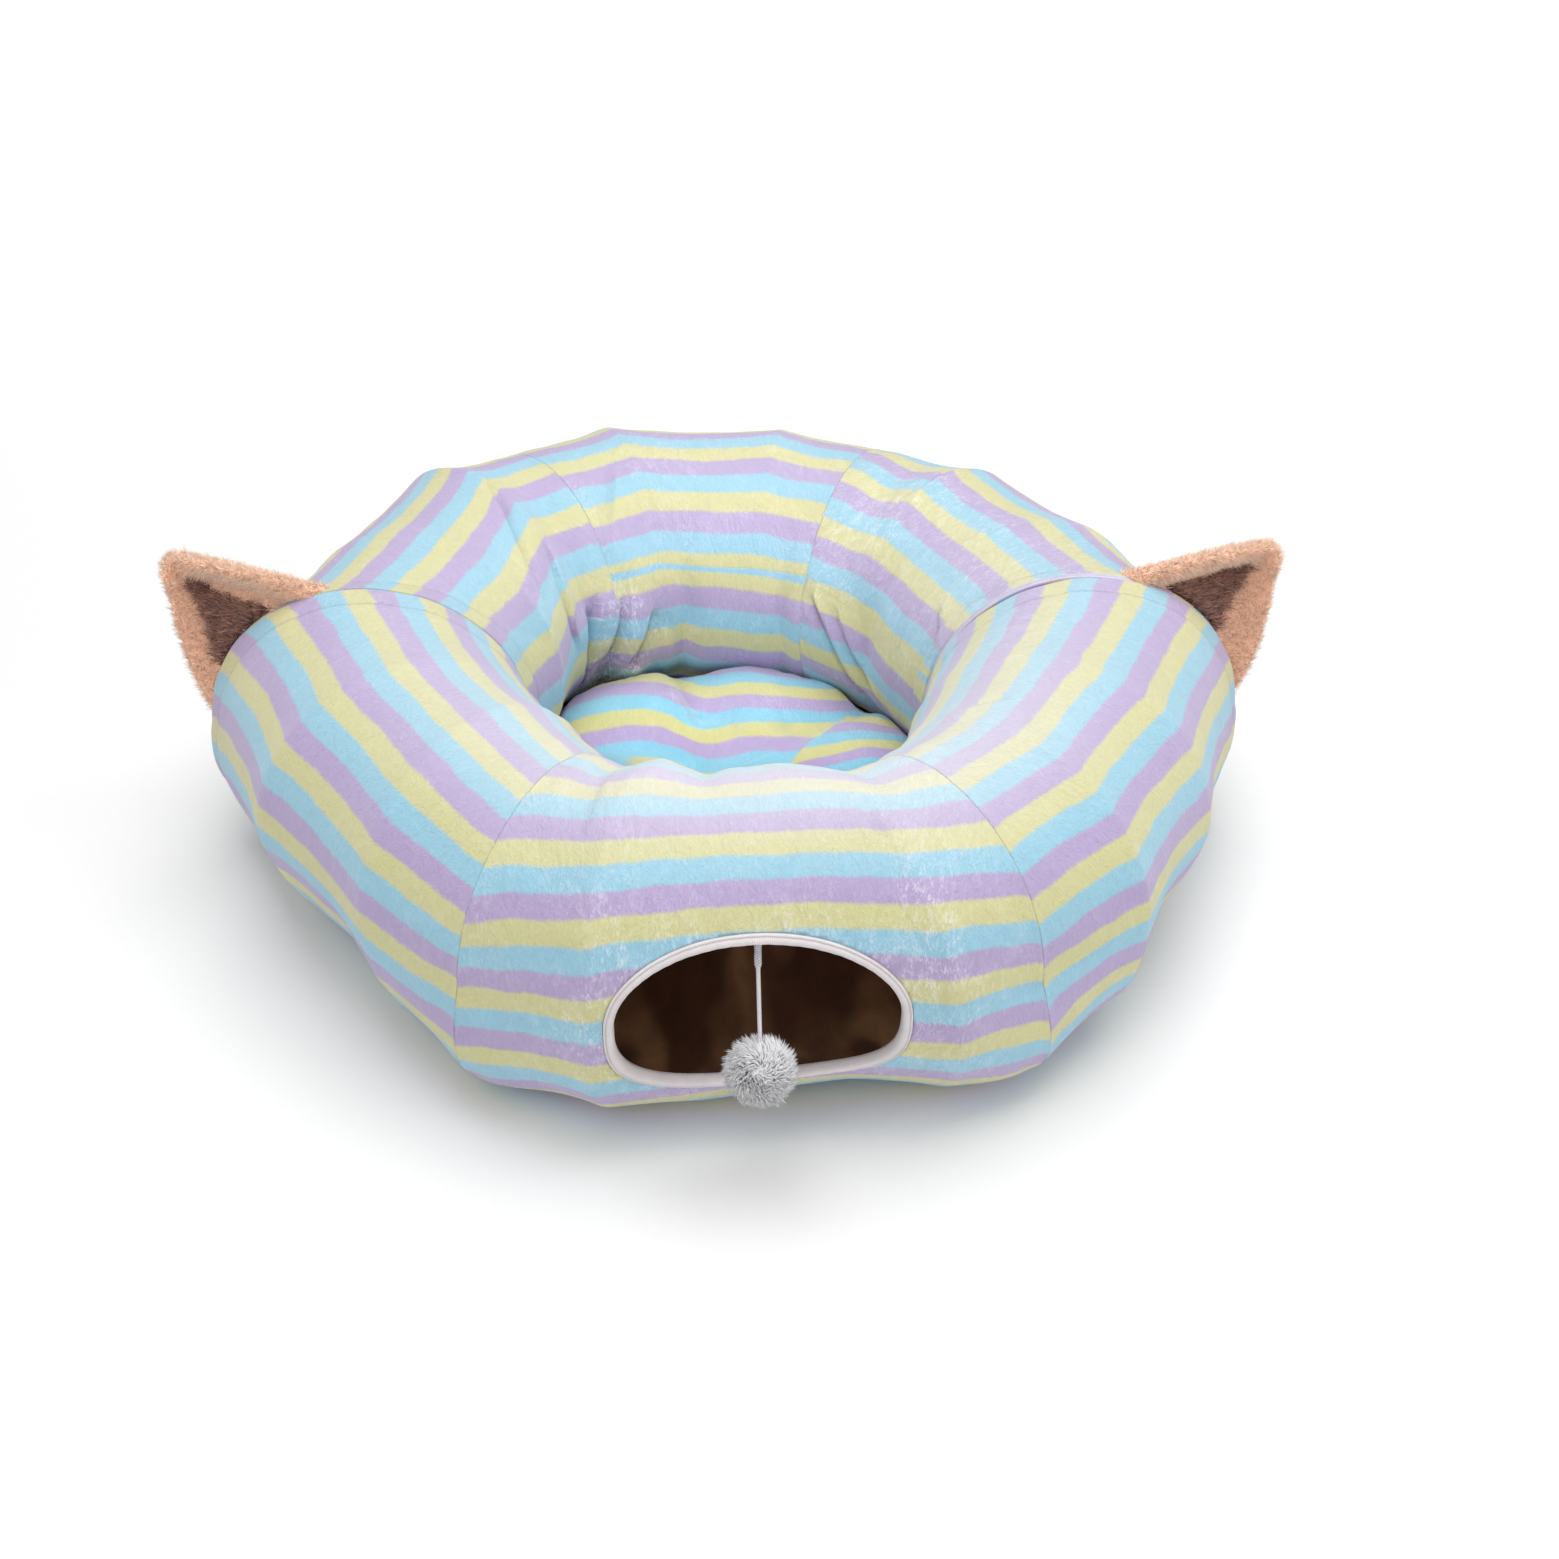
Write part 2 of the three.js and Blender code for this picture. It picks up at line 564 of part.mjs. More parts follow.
function makeCushion() {
  const points = [new THREE.Vector3(0, 0, 0)];
  for (const row of CUSHION_ROWS) {
    for (let k = 0; k < CUSHION.steps; k += 1) {
      const azimuth = (360 * k) / CUSHION.steps;
      const nearby = [-HALF_STEP, 0, HALF_STEP].map((turn) => wellRadius(azimuth + turn, row.z));
      const limit = Math.min(...nearby) - CUSHION.clearance;
      const radius = Math.min(CUSHION.radius * row.share, limit);
      const x = radius * Math.sin(radians(azimuth));
      const y = -radius * Math.cos(radians(azimuth));
      const top = row.z > CUSHION.topFrom;
      points.push(new THREE.Vector3(x, y, top ? cushionHeight(x, y, row.z) : row.z));
    }
  }
  points.push(new THREE.Vector3(0, 0, cushionHeight(0, 0, CUSHION.height)));
  const at = (row, k) => 1 + row * CUSHION.steps + (k % CUSHION.steps);
  const faces = [];
  for (let k = 0; k < CUSHION.steps; k += 1) {
    faces.push(0, at(0, k + 1), at(0, k));
    for (let row = 0; row < CUSHION_ROWS.length - 1; row += 1) {
      const [a, b, c, d] = [at(row, k), at(row, k + 1), at(row + 1, k + 1), at(row + 1, k)];
      faces.push(a, b, c, a, c, d);
    }
    const last = CUSHION_ROWS.length - 1;
    faces.push(points.length - 1, at(last, k), at(last, k + 1));
  }
  addPiece('cushion', geometryOf(points, faces), COLOURS.cushion);
}

// Cord and pompom

function makeToy() {
  const topZ = HOLE.z + HOLE.halfHeight;
  const wall = wallPoint(HOLE.x, topZ);
  const start = new THREE.Vector3(HOLE.x, wall.y + BINDING.depth / 2, topZ - SEWN_GAP);
  const ball = new THREE.Vector3(HOLE.x, POMPOM.y, POMPOM.z);
  const up = new THREE.Vector3(0, Math.sin(radians(POMPOM.lean)), Math.cos(radians(POMPOM.lean)));
  const end = ball.clone().addScaledVector(up, POMPOM.core + SEWN_GAP);
  const route = new THREE.CatmullRomCurve3([
    start,
    start.clone().add(new THREE.Vector3(0, -CORD.outward, -CORD.drop)),
    start.clone().lerp(end, 0.5).add(new THREE.Vector3(0, 0, -CORD.slack)),
    end.clone().addScaledVector(up, CORD.lead),
    end,
  ]);
  const section = new THREE.Shape(Array.from({ length: CORD.sides }, (_, k) => {
    const turn = (2 * Math.PI * k) / CORD.sides;
    return new THREE.Vector2(CORD.radius * Math.cos(turn), CORD.radius * Math.sin(turn));
  }));
  const cord = new THREE.ExtrudeGeometry(section, { steps: CORD.steps, extrudePath: route, bevelEnabled: false });
  addPiece('toy_cord', cord, COLOURS.cord);
  addPiece('toy_pompom', pompomGeometry(ball, up), COLOURS.pompom);
}

// One lock of yarn: a three-sided stem that widens towards its blunt tip

function lockGeometry(direction) {
  const side = new THREE.Vector3(0, 0, 1).cross(direction).normalize();
  const other = direction.clone().cross(side);
  const corner = (reach, width, k) => {
    const turn = (2 * Math.PI * k) / 3;
    return direction.clone().multiplyScalar(reach)
      .addScaledVector(side, width * Math.cos(turn))
      .addScaledVector(other, width * Math.sin(turn));
  };
  const points = [direction.clone().multiplyScalar(POMPOM.root), direction.clone().multiplyScalar(POMPOM.reach)];
  for (let k = 0; k < 3; k += 1) points.push(corner(POMPOM.root, POMPOM.rootWidth, k));
  for (let k = 0; k < 3; k += 1) points.push(corner(POMPOM.shoulder, POMPOM.lockWidth, k));
  const faces = [];
  for (let k = 0; k < 3; k += 1) {
    const [a, b] = [2 + k, 2 + ((k + 1) % 3)];
    const [c, d] = [b + 3, a + 3];
    faces.push(0, b, a, a, b, c, a, c, d, 1, d, c);
  }
  return geometryOf(points, faces);
}

function pompomGeometry(centre, cordWay) {
  let ball = solidOf(new THREE.IcosahedronGeometry(POMPOM.core, 1));
  const golden = Math.PI * (3 - Math.sqrt(5));
  for (let k = 0; k < POMPOM.locks; k += 1) {
    const z = 1 - (2 * k + 1) / POMPOM.locks;
    const around = Math.sqrt(1 - z * z);
    const direction = new THREE.Vector3(around * Math.cos(golden * k), around * Math.sin(golden * k), z);
    if (direction.angleTo(cordWay) < radians(POMPOM.bareCone)) continue;
    ball = ball.add(solidOf(lockGeometry(direction)));
  }
  const geometry = geometryFrom(ball);
  geometry.translate(centre.x, centre.y, centre.z);
  return geometry;
}

makePanels();
makeLining();
makeBinding();
makeZips();
makeEars();
makeCushion();
makeToy();

export default bed;
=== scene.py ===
"""Plush cat tunnel bed, dressed for a studio picture.

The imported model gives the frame, and every visible piece is built again here as finished cloth, fur and
yarn on the same shape. Lengths in the tables are millimetres and angles are degrees: an azimuth of 0 is the
front of the ring and 90 its right side, and a tube angle of 0 is the outer wall and 90 the top.
"""
import logging
import math
from collections.abc import Iterator
from contextlib import contextmanager
from dataclasses import dataclass, field
from enum import Enum

import bmesh
import bpy
import numpy as np
from bpy.types import Material, Node, NodeSocket, NodeTree, Object
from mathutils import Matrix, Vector


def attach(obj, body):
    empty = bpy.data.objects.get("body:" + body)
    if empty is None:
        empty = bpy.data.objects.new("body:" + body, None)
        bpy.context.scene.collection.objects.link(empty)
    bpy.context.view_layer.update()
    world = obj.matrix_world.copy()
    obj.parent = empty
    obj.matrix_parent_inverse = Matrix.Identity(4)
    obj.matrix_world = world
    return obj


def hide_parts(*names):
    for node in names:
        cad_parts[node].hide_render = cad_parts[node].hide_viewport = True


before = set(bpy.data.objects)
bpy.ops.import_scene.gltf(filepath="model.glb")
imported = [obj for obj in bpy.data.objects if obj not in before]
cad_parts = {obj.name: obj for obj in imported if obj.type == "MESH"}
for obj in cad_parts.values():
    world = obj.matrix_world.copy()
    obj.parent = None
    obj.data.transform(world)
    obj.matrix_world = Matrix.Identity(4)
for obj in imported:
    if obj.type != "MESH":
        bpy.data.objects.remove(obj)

MM = 0.001
RING_REACH, TUBE_REACH, TUBE_RISE = 403.0, 124.0, 116.0
LOG = logging.getLogger("cat_tunnel_bed")
Array = np.ndarray
Pair, Row = tuple[float, float], tuple[float, ...]
Pairs, Table = tuple[Pair, ...], tuple[Row, ...]
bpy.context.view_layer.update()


def bell(distance: Array, width: float) -> Array:
    """A soft bump of height 1 that has faded at about twice its width."""
    return np.exp(-((distance / width) ** 2))


def turn_between(first: Array, second: float) -> Array:
    """Signed turn from the second angle to the first, from -180 to 180 degrees."""
    return (first - second + 180.0) % 360.0 - 180.0


def smooth_step(value: Array, low: float, high: float) -> Array:
    """Eased rise from 0 at low to 1 at high."""
    share = np.clip((value - low) / (high - low), 0.0, 1.0)
    return share * share * (3.0 - 2.0 * share)


def ripple(points: Array, wavelength: float, seed: int) -> Array:
    """Soft, repeatable unevenness.

    Args:
        points: positions in millimetres, with the coordinates last.
        wavelength: rough distance from one swell to the next.
        seed: number that picks one pattern.

    Returns:
        About -1 to 1 at each point.
    """
    chance = np.random.default_rng(seed)
    total = np.zeros(points.shape[:-1])
    for _ in range(8):
        way = chance.normal(size=3)
        way *= 2.0 * math.pi * chance.uniform(0.7, 1.4) / (wavelength * np.linalg.norm(way))
        total += np.sin(points @ way + chance.uniform(0.0, 2.0 * math.pi))
    return total / 4.0


def unit(vectors: Array) -> Array:
    """The vectors at length 1."""
    return vectors / np.maximum(np.linalg.norm(vectors, axis=-1, keepdims=True), 1e-9)


def shade(code: str) -> tuple[float, float, float, float]:
    """Linear colour of a six-digit sRGB code.

    Args:
        code: two digits each for red, green and blue.

    Returns:
        Red, green, blue and an alpha of 1.
    """
    parts = [int(code[k:k + 2], 16) / 255.0 for k in (0, 2, 4)]
    linear = [p / 12.92 if p <= 0.04045 else ((p + 0.055) / 1.055) ** 2.4 for p in parts]
    return (linear[0], linear[1], linear[2], 1.0)


@dataclass(frozen=True)
class Crease:
    """A sharp fold in the cloth.

    Its path lists azimuths and tube angles. Seen along the path from outside, the cloth sinks by depth on
    the right hand and lies over it by lip on the left hand.
    """

    path: Pairs
    depth: float
    lip: float
    width: float
    edge: float = 2.2
    taper: float = 0.22

    def effect(self, azimuth: Array, angle: Array) -> tuple[Array, Array]:
        """How the fold moves and shades the cloth.

        Args:
            azimuth: angles round the ring.
            angle: angles round the tube, from -180 to 270 degrees.

        Returns:
            The drop inwards in millimetres, and how deep in the fold's shadow each point lies, 0 to 1.
        """
        knots = np.array(self.path, float)
        lengths, found = [], None
        for first, second in zip(knots[:-1], knots[1:]):
            level = math.radians((first[1] + second[1]) / 2)
            scale = np.radians([RING_REACH - TUBE_REACH + TUBE_REACH * math.cos(level), TUBE_RISE])
            way = (second - first) * scale
            across, up = (azimuth - first[0]) * scale[0], (angle - first[1]) * scale[1]
            length = float(np.hypot(*way))
            share = np.clip((across * way[0] + up * way[1]) / length ** 2, 0.0, 1.0)
            away = np.hypot(across - share * way[0], up - share * way[1])
            signed = away * np.where(way[0] * up - way[1] * across > 0, 1.0, -1.0)
            along = sum(lengths) + share * length
            lengths.append(length)
            if found is None:
                found = [away, signed, along]
                continue
            closer = away < found[0]
            found = [np.where(closer, new, old) for new, old in zip((away, signed, along), found)]
        _, signed, along = found
        total = sum(lengths)
        fade = self.taper * total
        ends = smooth_step(along, 0.0, fade) * smooth_step(total - along, 0.0, fade)
        lip_side = smooth_step(signed, -self.edge, self.edge)
        valley = bell(np.minimum(signed, 0.0), self.width) * (1.0 - lip_side)
        ridge = bell(np.maximum(signed, 0.0), 1.5 * self.width) * lip_side
        return (self.depth * valley - self.lip * ridge) * ends, valley * ends * min(1.0, self.depth / 6.0)


@dataclass(frozen=True)
class TubeShape:
    """The stuffed tube: sections round the ring, sags between its hoops, seams, dents and folds."""

    sections: Table = (
        (-90, 403, 248, 231, 12, 0), (-65, 380, 236, 229, -8, 0), (-43, 377, 230, 230, 6, 6),
        (-29.5, 393, 230, 225, 12, -8), (-15, 398, 224, 230, 9, 4), (20, 402, 220, 228, 6, 14),
        (30, 405, 230, 225, 20, 10), (43.5, 404, 236, 228, 4, 8), (63, 386, 236, 230, -8, 0),
        (90, 403, 248, 231, 12, 0), (113, 382, 240, 225, 0, 0), (134, 381, 238, 228, 0, 0),
        (153, 378, 236, 224, 0, 0), (169, 385, 236, 225, 0, 0), (197, 399, 236, 227, 0, 0),
        (213, 389, 235, 227, 0, 0), (226, 401, 238, 230, 0, 0), (248, 380, 240, 225, 0, 0),
        (270, 403, 248, 231, 12, 0),
    )
    floor_press: float = 4.0
    wall_rise: float = 115.0
    wall_rounds: int = 14
    sag: tuple[float, float, float, float] = (4.0, 4.0, 3.0, 1.0)
    seam_dip: float = 3.0
    seam_width: float = 2.4
    pinches: Pairs = ((-29.5, 8), (30, 8), (153, 2), (213, 3))
    pinch_width: float = 6.0
    pinch_angle: float = -4.0
    pinch_span: float = 34.0
    folds: Table = (
        (190, 190, 3.2, 38, 8), (205, 185, 3.4, 42, -6), (221, 150, 4.2, 40, 7), (143, 100, 4, 26, 7),
        (160, 190, 3.4, 40, 6), (126, 170, 4, 34, 5), (-52, -30, 4.4, 32, 6), (53, -28, 4.4, 32, 5),
    )

    dents: Table = (
        (10, -46, 9, 26, 8), (40, -14, 9, 28, 7), (-83, -18, 9, 24, -5), (-59, -18, 8, 24, 5),
        (-27, -46, 5, 24, -7), (84, -18, 9, 24, -5), (25, -42, 4.5, 22, -5), (-44, -25, 7, 24, 5),
        (214, 204, 5, 24, 12), (-22, 110, 3.2, 24, 5), (-12, 118, 3, 30, -4.5), (-4, 116, 2.6, 28, 5),
        (9, 116, 6, 32, -4.5), (21.5, 112, 3.2, 26, 5),
    )
    creases: tuple[Crease, ...] = (
        Crease(((243, 157), (242, 147), (237.6, 131), (231, 113), (222.6, 83)), 5, 2.5, 9, taper=0.42),
        Crease(((226, 130), (229, 145), (230.7, 157), (231, 171), (227.4, 186)), 3.5, 3, 6),
        Crease(((201, 104), (205, 124), (210, 142), (213, 158)), 2.5, 1.5, 9),
        Crease(((224, 212), (222.6, 184), (221.4, 164)), 9, 3, 9),
        Crease(((216.6, 160), (219, 175), (222.3, 194)), 4.5, 3, 5),
        Crease(((214.8, 202), (213.3, 185), (211.3, 162)), 4.5, 3, 6),
        Crease(((209, 208), (205.5, 190), (200.5, 174)), 7, 0.5, 13),
        Crease(((135, 70), (134.7, 97), (137, 112), (137.6, 126)), 3, 2, 6),
        Crease(((152.5, 157), (141, 180), (133.5, 196), (123, 209), (116, 214)), 6, 3, 7),
        Crease(((141, 164), (128, 189), (118, 204)), 4, 3, 6),
        Crease(((105, 138), (95.3, 152), (91.5, 164)), 3, 2, 5),
        Crease(((52, 100), (47, 116), (43, 134)), 3, 2, 6),
        Crease(((-20, 106), (-18.5, 84), (-17.8, 64)), 2.4, 1, 8),
        Crease(((17, 64), (16.4, 76), (17, 90)), 2.2, 1, 8),
    )

    def point(self, azimuth: Array, angle: Array, inset: float = 0.0, lift: float = 0.0,
              folded: bool = True) -> Array:
        """Points of the tube's face.

        Args:
            azimuth: angles round the ring.
            angle: angles round the tube.
            inset: depth of a layer inside the face, which also keeps it that far off the floor.
            lift: height of fine relief on that layer.
            folded: whether the deep folds count.

        Returns:
            Positions in millimetres, with the coordinates last.
        """
        azimuth, angle, lift = np.broadcast_arrays(*(np.asarray(a, float) for a in (azimuth, angle, lift)))
        table = np.array(self.sections, float)
        index = np.clip(np.searchsorted(table[:, 0], azimuth, side="left") - 1, 0, len(table) - 2)
        first, second = table[index], table[index + 1]
        share = (azimuth - first[..., 0]) / (second[..., 0] - first[..., 0])
        cos, sin = np.cos(np.radians(angle)), np.sin(np.radians(angle))
        depth = inset - lift

        def on_section(row: Array) -> Array:
            """The section's own point at each angle.

            Args:
                row: each point's row of the sections.

            Returns:
                Positions in millimetres.
            """
            turn = np.radians(row[..., 0])
            kick = 2.0 * row[..., 4] * np.maximum(0, cos) * np.maximum(0, -sin)
            radius = row[..., 1] - row[..., 2] / 2 + (row[..., 2] / 2 - depth) * cos + kick
            ahead = -row[..., 5] * sin
            height = row[..., 3] / 2 - self.floor_press + (row[..., 3] / 2 - depth) * sin
            return np.stack([radius * np.sin(turn) + ahead * np.cos(turn),
                             -radius * np.cos(turn) + ahead * np.sin(turn), height], -1)

        def middle(row: Array) -> Array:
            """The section's centre.

            Args:
                row: each point's row of the sections.

            Returns:
                Positions in millimetres.
            """
            turn = np.radians(row[..., 0])
            radius = row[..., 1] - row[..., 2] / 2
            return np.stack([radius * np.sin(turn), -radius * np.cos(turn),
                             row[..., 3] / 2 - self.floor_press], -1)

        blend = share[..., None]
        points = on_section(first) * (1 - blend) + on_section(second) * blend
        inwards = unit(middle(first) * (1 - blend) + middle(second) * blend - points)
        outer, top, inner, bottom = self.sag
        dip = (outer * np.maximum(0, cos) ** 2 + inner * np.maximum(0, -cos) ** 2
               + top * np.maximum(0, sin) ** 2 + bottom * np.maximum(0, -sin) ** 2) * 4 * share * (1 - share)
        level = bell(turn_between(angle, self.pinch_angle), self.pinch_span)
        for seam, pinch in self.pinches:
            dip = dip + self.seam_dip * bell(azimuth - seam, self.seam_width)
            dip = dip + pinch * bell(azimuth - seam, self.pinch_width) * level
        if folded:
            for at, around, along, span, drop in self.folds + self.dents:
                dip = dip + drop * bell(azimuth - at, along) * bell(turn_between(angle, around), span)
            dip = dip + self.crease_effect(azimuth, angle)[0]
        points = points + inwards * dip[..., None]
        points[..., 2] = np.maximum(points[..., 2], inset)
        return points

    def crease_effect(self, azimuth: Array, angle: Array) -> tuple[Array, Array]:
        """The joint drop and shadow of all the creases at each point.

        Args:
            azimuth: angles round the ring.
            angle: angles round the tube.

        Returns:
            The drop inwards in millimetres and the shadow, 0 to 1.
        """
        drop, shadow = np.zeros(np.shape(azimuth)), np.zeros(np.shape(azimuth))
        turn = np.where(angle < -90.0, angle + 360.0, angle)
        for crease in self.creases:
            one, dark = crease.effect(azimuth, turn)
            drop, shadow = drop + one, np.maximum(shadow, dark)
        return drop, shadow

    def wall(self, x: Array, z: Array, inset: float = 0.0) -> tuple[Array, Array]:
        """Angles of the front wall's points that show at x and z from the front.

        Args:
            x: positions to the right, in millimetres.
            z: heights.
            inset: depth of the layer.

        Returns:
            The azimuths and the tube angles.
        """
        azimuth, angle = np.degrees(np.arcsin(x / RING_REACH)), np.zeros_like(x)
        for _ in range(self.wall_rounds):
            found = self.point(azimuth, angle, inset)
            azimuth = azimuth + np.degrees((x - found[..., 0]) / RING_REACH)
            angle = angle + np.degrees((z - found[..., 2]) / self.wall_rise / np.cos(np.radians(angle)))
        return azimuth, angle


@dataclass(frozen=True)
class HoleShape:
    """The peep hole's outline, seen from the front."""

    x: float = 7.0
    z: float = 113.8
    half_width: float = 92.0
    half_height: float = 52.0
    upper_power: float = 2.15
    lower_power: float = 2.8
    cloth_offset: float = 7.4

    def outline(self, turn: Array, offset: float) -> tuple[Array, Array]:
        """The outline's x and z at angles round it, offset outwards.

        Args:
            turn: angles round it, in radians.
            offset: distance outwards.

        Returns:
            Positions x and z in millimetres.
        """
        cos, sin = np.cos(turn), np.sin(turn)
        power = np.where(sin > 0, self.upper_power, self.lower_power)
        x = (self.half_width + offset) * np.sign(cos) * np.abs(cos) ** (2 / power)
        z = (self.half_height + offset) * np.sign(sin) * np.abs(sin) ** (2 / power)
        return self.x + x, self.z + z

    def spread(self, x: Array, z: Array, offset: float) -> Array:
        """How far out a point lies, where 1 is on the outline.

        Args:
            x: positions to the right.
            z: heights.
            offset: distance outwards of the outline that counts.

        Returns:
            Less than 1 inside it and more outside.
        """
        power = np.where(z > self.z, self.upper_power, self.lower_power)
        across = np.abs(x - self.x) / (self.half_width + offset)
        upwards = np.abs(z - self.z) / (self.half_height + offset)
        return (across ** power + upwards ** power) ** (1 / power)


TUBE = TubeShape()
HOLE = HoleShape()


class Surface(Enum):
    """The two faces of a sheet, as material places on its mesh."""

    FACE = 0
    BACK = 1


def show(thing: Object) -> None:
    """Put an object in the scene."""
    bpy.context.scene.collection.objects.link(thing)


def make_object(name: str, points: Array, faces: list, materials: list,
                places: Array | None = None) -> Object:
    """Make a smooth mesh object that rides on the ring.

    Args:
        name: the piece's name.
        points: positions in millimetres.
        faces: corner lists.
        materials: finished materials, in the order of their places.
        places: each face's material place.

    Returns:
        The new object.
    """
    mesh = bpy.data.meshes.new(name)
    mesh.from_pydata((np.asarray(points, float) * MM).tolist(), [], faces)
    for material in materials:
        mesh.materials.append(material)
    if places is not None:
        mesh.polygons.foreach_set("material_index", np.asarray(places, np.int32))
    mesh.polygons.foreach_set("use_smooth", np.ones(len(mesh.polygons), bool))
    mesh.update()
    piece = bpy.data.objects.new(name, mesh)
    show(piece)
    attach(piece, "root")
    return piece


def grid_cells(rows: int, columns: int) -> Array:
    """Four point numbers for each cell of an open grid of points.

    Args:
        rows: rows of cells.
        columns: cells in a row.

    Returns:
        One row of four numbers a cell.
    """
    i, j = np.meshgrid(np.arange(rows), np.arange(columns), indexing="ij")
    cells = np.stack([i, i + 1, i + 1, i], -1) * (columns + 1) + np.stack([j, j, j + 1, j + 1], -1)
    return cells.reshape(-1, 4)


def tube_cells(rows: int, around: int) -> Array:
    """Four point numbers for each cell of a grid whose rows close into rings.

    Args:
        rows: rows of cells.
        around: cells in a ring.

    Returns:
        One row of four numbers a cell.
    """
    i, j = np.meshgrid(np.arange(rows), np.arange(around), indexing="ij")
    onwards = (j + 1) % around
    return np.stack([i * around + j, i * around + onwards, (i + 1) * around + onwards,
                     (i + 1) * around + j], -1).reshape(-1, 4)


def run_length(line: Array) -> Array:
    """Length of the way along a line of points, from its start to each point."""
    return np.concatenate([[0.0], np.cumsum(np.linalg.norm(np.diff(line, axis=0), axis=1))])


def circle(side: Array, other: Array, count: int) -> Array:
    """Points of a circle of radius 1 in the plane of each pair of directions.

    Args:
        side: first direction of each pair.
        other: second direction of each pair.
        count: points on a circle.

    Returns:
        Offsets from the centre, with a circle for each pair.
    """
    spin = 2.0 * math.pi * np.arange(count) / count
    return np.cos(spin)[None, :, None] * side[:, None] + np.sin(spin)[None, :, None] * other[:, None]


@contextmanager
def edited(piece: Object) -> Iterator[bmesh.types.BMesh]:
    """Open a piece's mesh for changes and write them back afterwards.

    Args:
        piece: the piece.

    Yields:
        The mesh as it is changed.
    """
    shape = bmesh.new()
    shape.from_mesh(piece.data)
    yield shape
    shape.to_mesh(piece.data)
    shape.free()


def give_values(piece: Object, name: str, values: Array, domain: str = "CORNER") -> None:
    """Store one number for each corner or point of a mesh, for its material to read."""
    layer = piece.data.attributes.new(name, "FLOAT", domain)
    layer.data.foreach_set("value", np.asarray(values, np.float32).ravel())


def give_map(piece: Object, across: Array, along: Array) -> None:
    """Lay the cloth's own flat coordinates, in millimetres, as the mesh's map in metres.

    Args:
        piece: the piece.
        across: each corner's place across the cloth.
        along: its place along the cloth.
    """
    layer = piece.data.uv_layers.new(name="cloth")
    pairs = np.stack([across, along], -1) * MM
    layer.data.foreach_set("uv", pairs.astype(np.float32).ravel())


